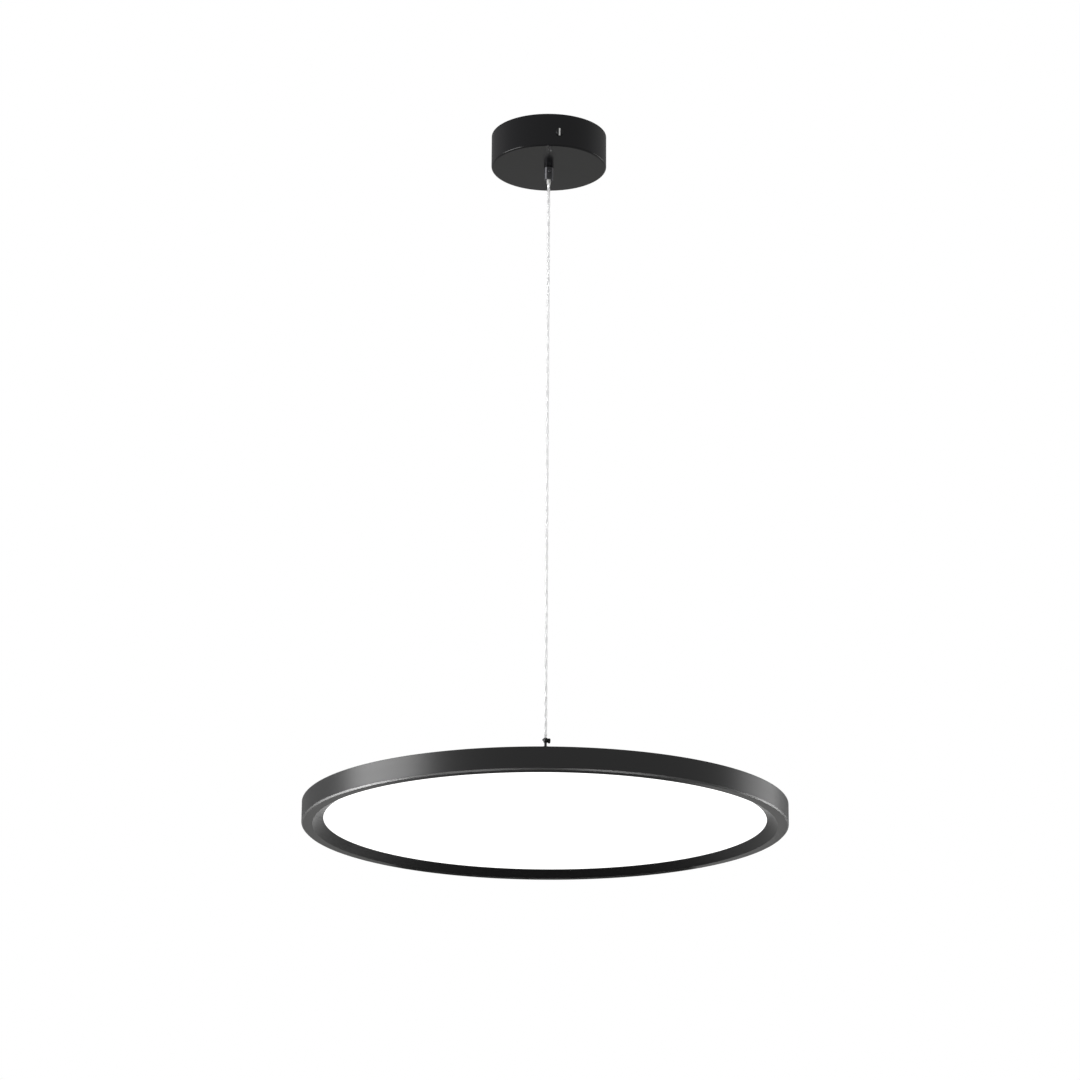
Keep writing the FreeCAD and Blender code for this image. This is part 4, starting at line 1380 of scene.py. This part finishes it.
@dataclass
class Softbox:
    """Soft light at one point that faces another, whose beam a grid may narrow to the lamp's ring.

    Points are metres to the right of the lamp's axis, away from the camera and up. The beam is in degrees,
    and the radiance is the one without a grid, which gathers the light into its beam.
    """

    name: str
    place: Spot
    aim: Spot
    width: float
    depth: float
    radiance: float
    beam: float = OPEN_BEAM

    def build(self, camera: PhotoCamera) -> None:
        """Makes the light.

        Args:
            camera: the camera that right and away are measured from.
        """
        axes = Matrix((camera.across(), camera.away(), Vector((0, 0, 1)))).transposed()
        place, aim = axes @ Vector(self.place), axes @ Vector(self.aim)
        data = bpy.data.lights.new(self.name, "AREA")
        data.shape = "RECTANGLE"
        data.size = self.width
        data.size_y = self.depth
        data.energy = self.radiance * math.pi * self.width * self.depth
        data.spread = math.radians(self.beam)
        light = add_object(self.name, data)
        light.location = place
        light.rotation_euler = (aim - place).to_track_quat("-Z", "Y").to_euler()
        light.visible_camera = False
        if self.beam < OPEN_BEAM:
            light.light_linking.receiver_collection = grid_lit()


# The walls show the first two boxes, the ring's near bevel the next three, and its reveal the last three
SOFTBOXES = (
    Softbox("left_softbox", place=(-1.449, -0.388, -0.33), aim=(0, 0, -0.33),
            width=1.1, depth=0.56, radiance=10.0),
    Softbox("right_softbox", place=(1.473, 0.625, -0.37), aim=(0, 0, -0.37),
            width=1.0, depth=0.4, radiance=2.9),
    Softbox("front_left_softbox", place=(-0.479, -0.402, -1.75), aim=(0, 0, 0.2),
            width=0.6, depth=0.25, radiance=0.8, beam=44.0),
    Softbox("front_right_softbox", place=(0.479, -0.402, -1.75), aim=(0, 0, 0.2),
            width=0.6, depth=0.25, radiance=1.05, beam=44.0),
    Softbox("bevel_softbox", place=(-1.08, 0.25, -1.75), aim=(-0.45, -0.45, -0.77),
            width=0.7, depth=0.5, radiance=4.0, beam=46.0),
    Softbox("low_left_softbox", place=(-1.226, 1.028, -1.5), aim=(0.55, 0.1, -0.77),
            width=0.8, depth=0.6, radiance=1.2, beam=44.0),
    Softbox("low_right_softbox", place=(1.111, 1.151, -1.45), aim=(-0.55, 0.1, -0.77),
            width=0.8, depth=0.6, radiance=1.8, beam=44.0),
    Softbox("back_softbox", place=(0.157, 2.996, -1.0), aim=(0, 0, -0.9),
            width=0.5, depth=0.4, radiance=0.05, beam=30.0),
)


@dataclass
class Studio:
    """White room: world, pale floor, softboxes, a black flag and the camera. Sizes here are metres.

    The white side is the direction to the pale room, towards the camera and down. The two edges are the
    cosines from it where the dark flags end and where the pale room is full.
    """

    fill: float = 0.66
    front_gloss: float = 0.55
    flagged_gloss: float = 0.18
    white_side_near: float = 0.6
    white_side_down: float = 0.8
    flagged_edge: float = -0.90
    white_edge: float = -0.40
    floor_height: float = -1.9
    floor_radius: float = 20.0
    floor_rings: int = 24
    floor_turns: int = 96
    floor_colour: str = "D6D6D4"
    floor_shade: str = "CFCFCD"
    floor_mottle: float = 3.0
    floor_veil: float = 0.5
    fade_start: float = 1.6
    fade_end: float = 4.5
    flag_width: float = 0.33
    flag_top_distance: float = 0.28
    flag_foot_distance: float = 0.10
    flag_low: float = -1.4
    flag_high: float = -0.776

    def build(self) -> None:
        """Builds the camera, the lights, the world, the floor and the flag."""
        bpy.context.scene.view_settings.view_transform = "Standard"
        camera = PhotoCamera()
        camera.build()
        for box in SOFTBOXES:
            box.build(camera)
        self.build_world(camera)
        self.build_floor()
        self.build_flag(camera)

    def build_world(self, camera: PhotoCamera) -> None:
        """White to the eye and through clear pieces, and a softer fill on everything else.

        Gloss shows the pale room on the camera's side. Above and behind the lamp it shows dark flags, which
        keep its outline dark.

        Args:
            camera: the camera on the white side.
        """
        world = bpy.data.worlds.new("white_room")
        world.use_nodes = True
        tree = world.node_tree
        white_side = Vector((0, 0, -self.white_side_down)) - camera.away() * self.white_side_near
        towards = add_node(tree, "VectorMath", {"operation": "DOT_PRODUCT"},
                           {0: add_node(tree, "TexCoord").outputs["Generated"], 1: white_side})
        gloss = add_node(tree, "MapRange", {"interpolation_type": "SMOOTHSTEP"},
                         {"Value": towards.outputs["Value"],
                          "From Min": self.flagged_edge, "From Max": self.white_edge,
                          "To Min": self.flagged_gloss, "To Max": self.front_gloss})
        glossy = add_node(tree, "LightPath").outputs["Is Glossy Ray"]
        unseen = add_node(tree, "Mix", None, {0: glossy, 2: self.fill, 3: gloss.outputs[0]})
        strength = add_node(tree, "Mix", None, {0: seen_straight(tree), 2: unseen.outputs[0], 3: 1.0})
        backdrop = tree.nodes["Background"]
        backdrop.inputs["Color"].default_value = linear("FFFFFF")
        tree.links.new(strength.outputs[0], backdrop.inputs["Strength"])
        bpy.context.scene.world = world

    def build_flag(self, camera: PhotoCamera) -> None:
        """Black flag that slants under the disc's far half, and darkens the ring's middle in gloss alone.

        Args:
            camera: the camera that it stands square to.
        """
        across = camera.across() * self.flag_width / 2
        foot = camera.away() * self.flag_foot_distance + Vector((0, 0, self.flag_low))
        head = camera.away() * self.flag_top_distance + Vector((0, 0, self.flag_high))
        mesh = bpy.data.meshes.new("black_flag")
        mesh.from_pydata([foot - across, foot + across, head + across, head - across], [], [(0, 1, 2, 3)])
        mesh.materials.append(material_of(BLACK_CLOTH))
        flag = add_object("black_flag", mesh)
        for ray in ("camera", "diffuse", "transmission", "shadow"):
            setattr(flag, "visible_" + ray, False)

    def build_floor(self) -> None:
        """Pale floor: a disc of rings that fades into the room before its edge, and is clear from below."""
        radii = np.linspace(self.floor_radius, 0, self.floor_rings)[:, None] / MM
        heights = np.full_like(radii, self.floor_height / MM)
        disc = turned(np.repeat(radii, self.floor_turns, 1), heights, False)
        mesh = make_mesh("floor", [disc], outward=False)
        mesh.materials.append(self.floor_material())
        floor = add_object("floor", mesh)

    def floor_material(self) -> bpy.types.Material:
        """Matt pale paint with a faint mottle.

        To the eye it is half veiled near the lamp, fades out far off and is clear from below.

        Returns:
            The floor's material.
        """
        made = bpy.data.materials.new("floor_paint_pale")
        made.use_nodes = True
        tree = made.node_tree
        spot = add_node(tree, "TexCoord").outputs["Object"]
        noise = add_node(tree, "TexNoise", None, {"Vector": spot, "Scale": self.floor_mottle})
        tint = tinted(tree, noise.outputs[0], self.floor_colour, self.floor_shade)
        paint = add_node(tree, "BsdfDiffuse", None, {"Color": tint})
        away = add_node(tree, "VectorMath", {"operation": "LENGTH"}, {0: spot})
        fade = add_node(tree, "MapRange", {"interpolation_type": "SMOOTHSTEP"},
                        {"Value": away.outputs["Value"], "From Min": self.fade_start - self.floor_height,
                         "From Max": self.fade_end - self.floor_height, "To Min": self.floor_veil})
        below = add_node(tree, "NewGeometry").outputs["Backfacing"]
        open_share = combined(tree, "MAXIMUM", fade.outputs[0], below)
        to_eye = combined(tree, "MULTIPLY", open_share, seen_straight(tree))
        clear = add_node(tree, "BsdfTransparent")
        mixed = add_node(tree, "MixShader", None, {0: to_eye, 1: paint.outputs[0], 2: clear.outputs[0]})
        tree.links.new(mixed.outputs[0], tree.nodes["Material Output"].inputs["Surface"])
        return made


def main() -> None:
    """Builds the studio, the cord, the canopy, the clamp and the disc."""
    logging.basicConfig(level=logging.INFO, format="%(name)s %(message)s")
    for part in (Studio(), PendantCord(), Canopy(), CordClamp(), LampDisc()):
        part.build()


if __name__ == "__main__":
    main()
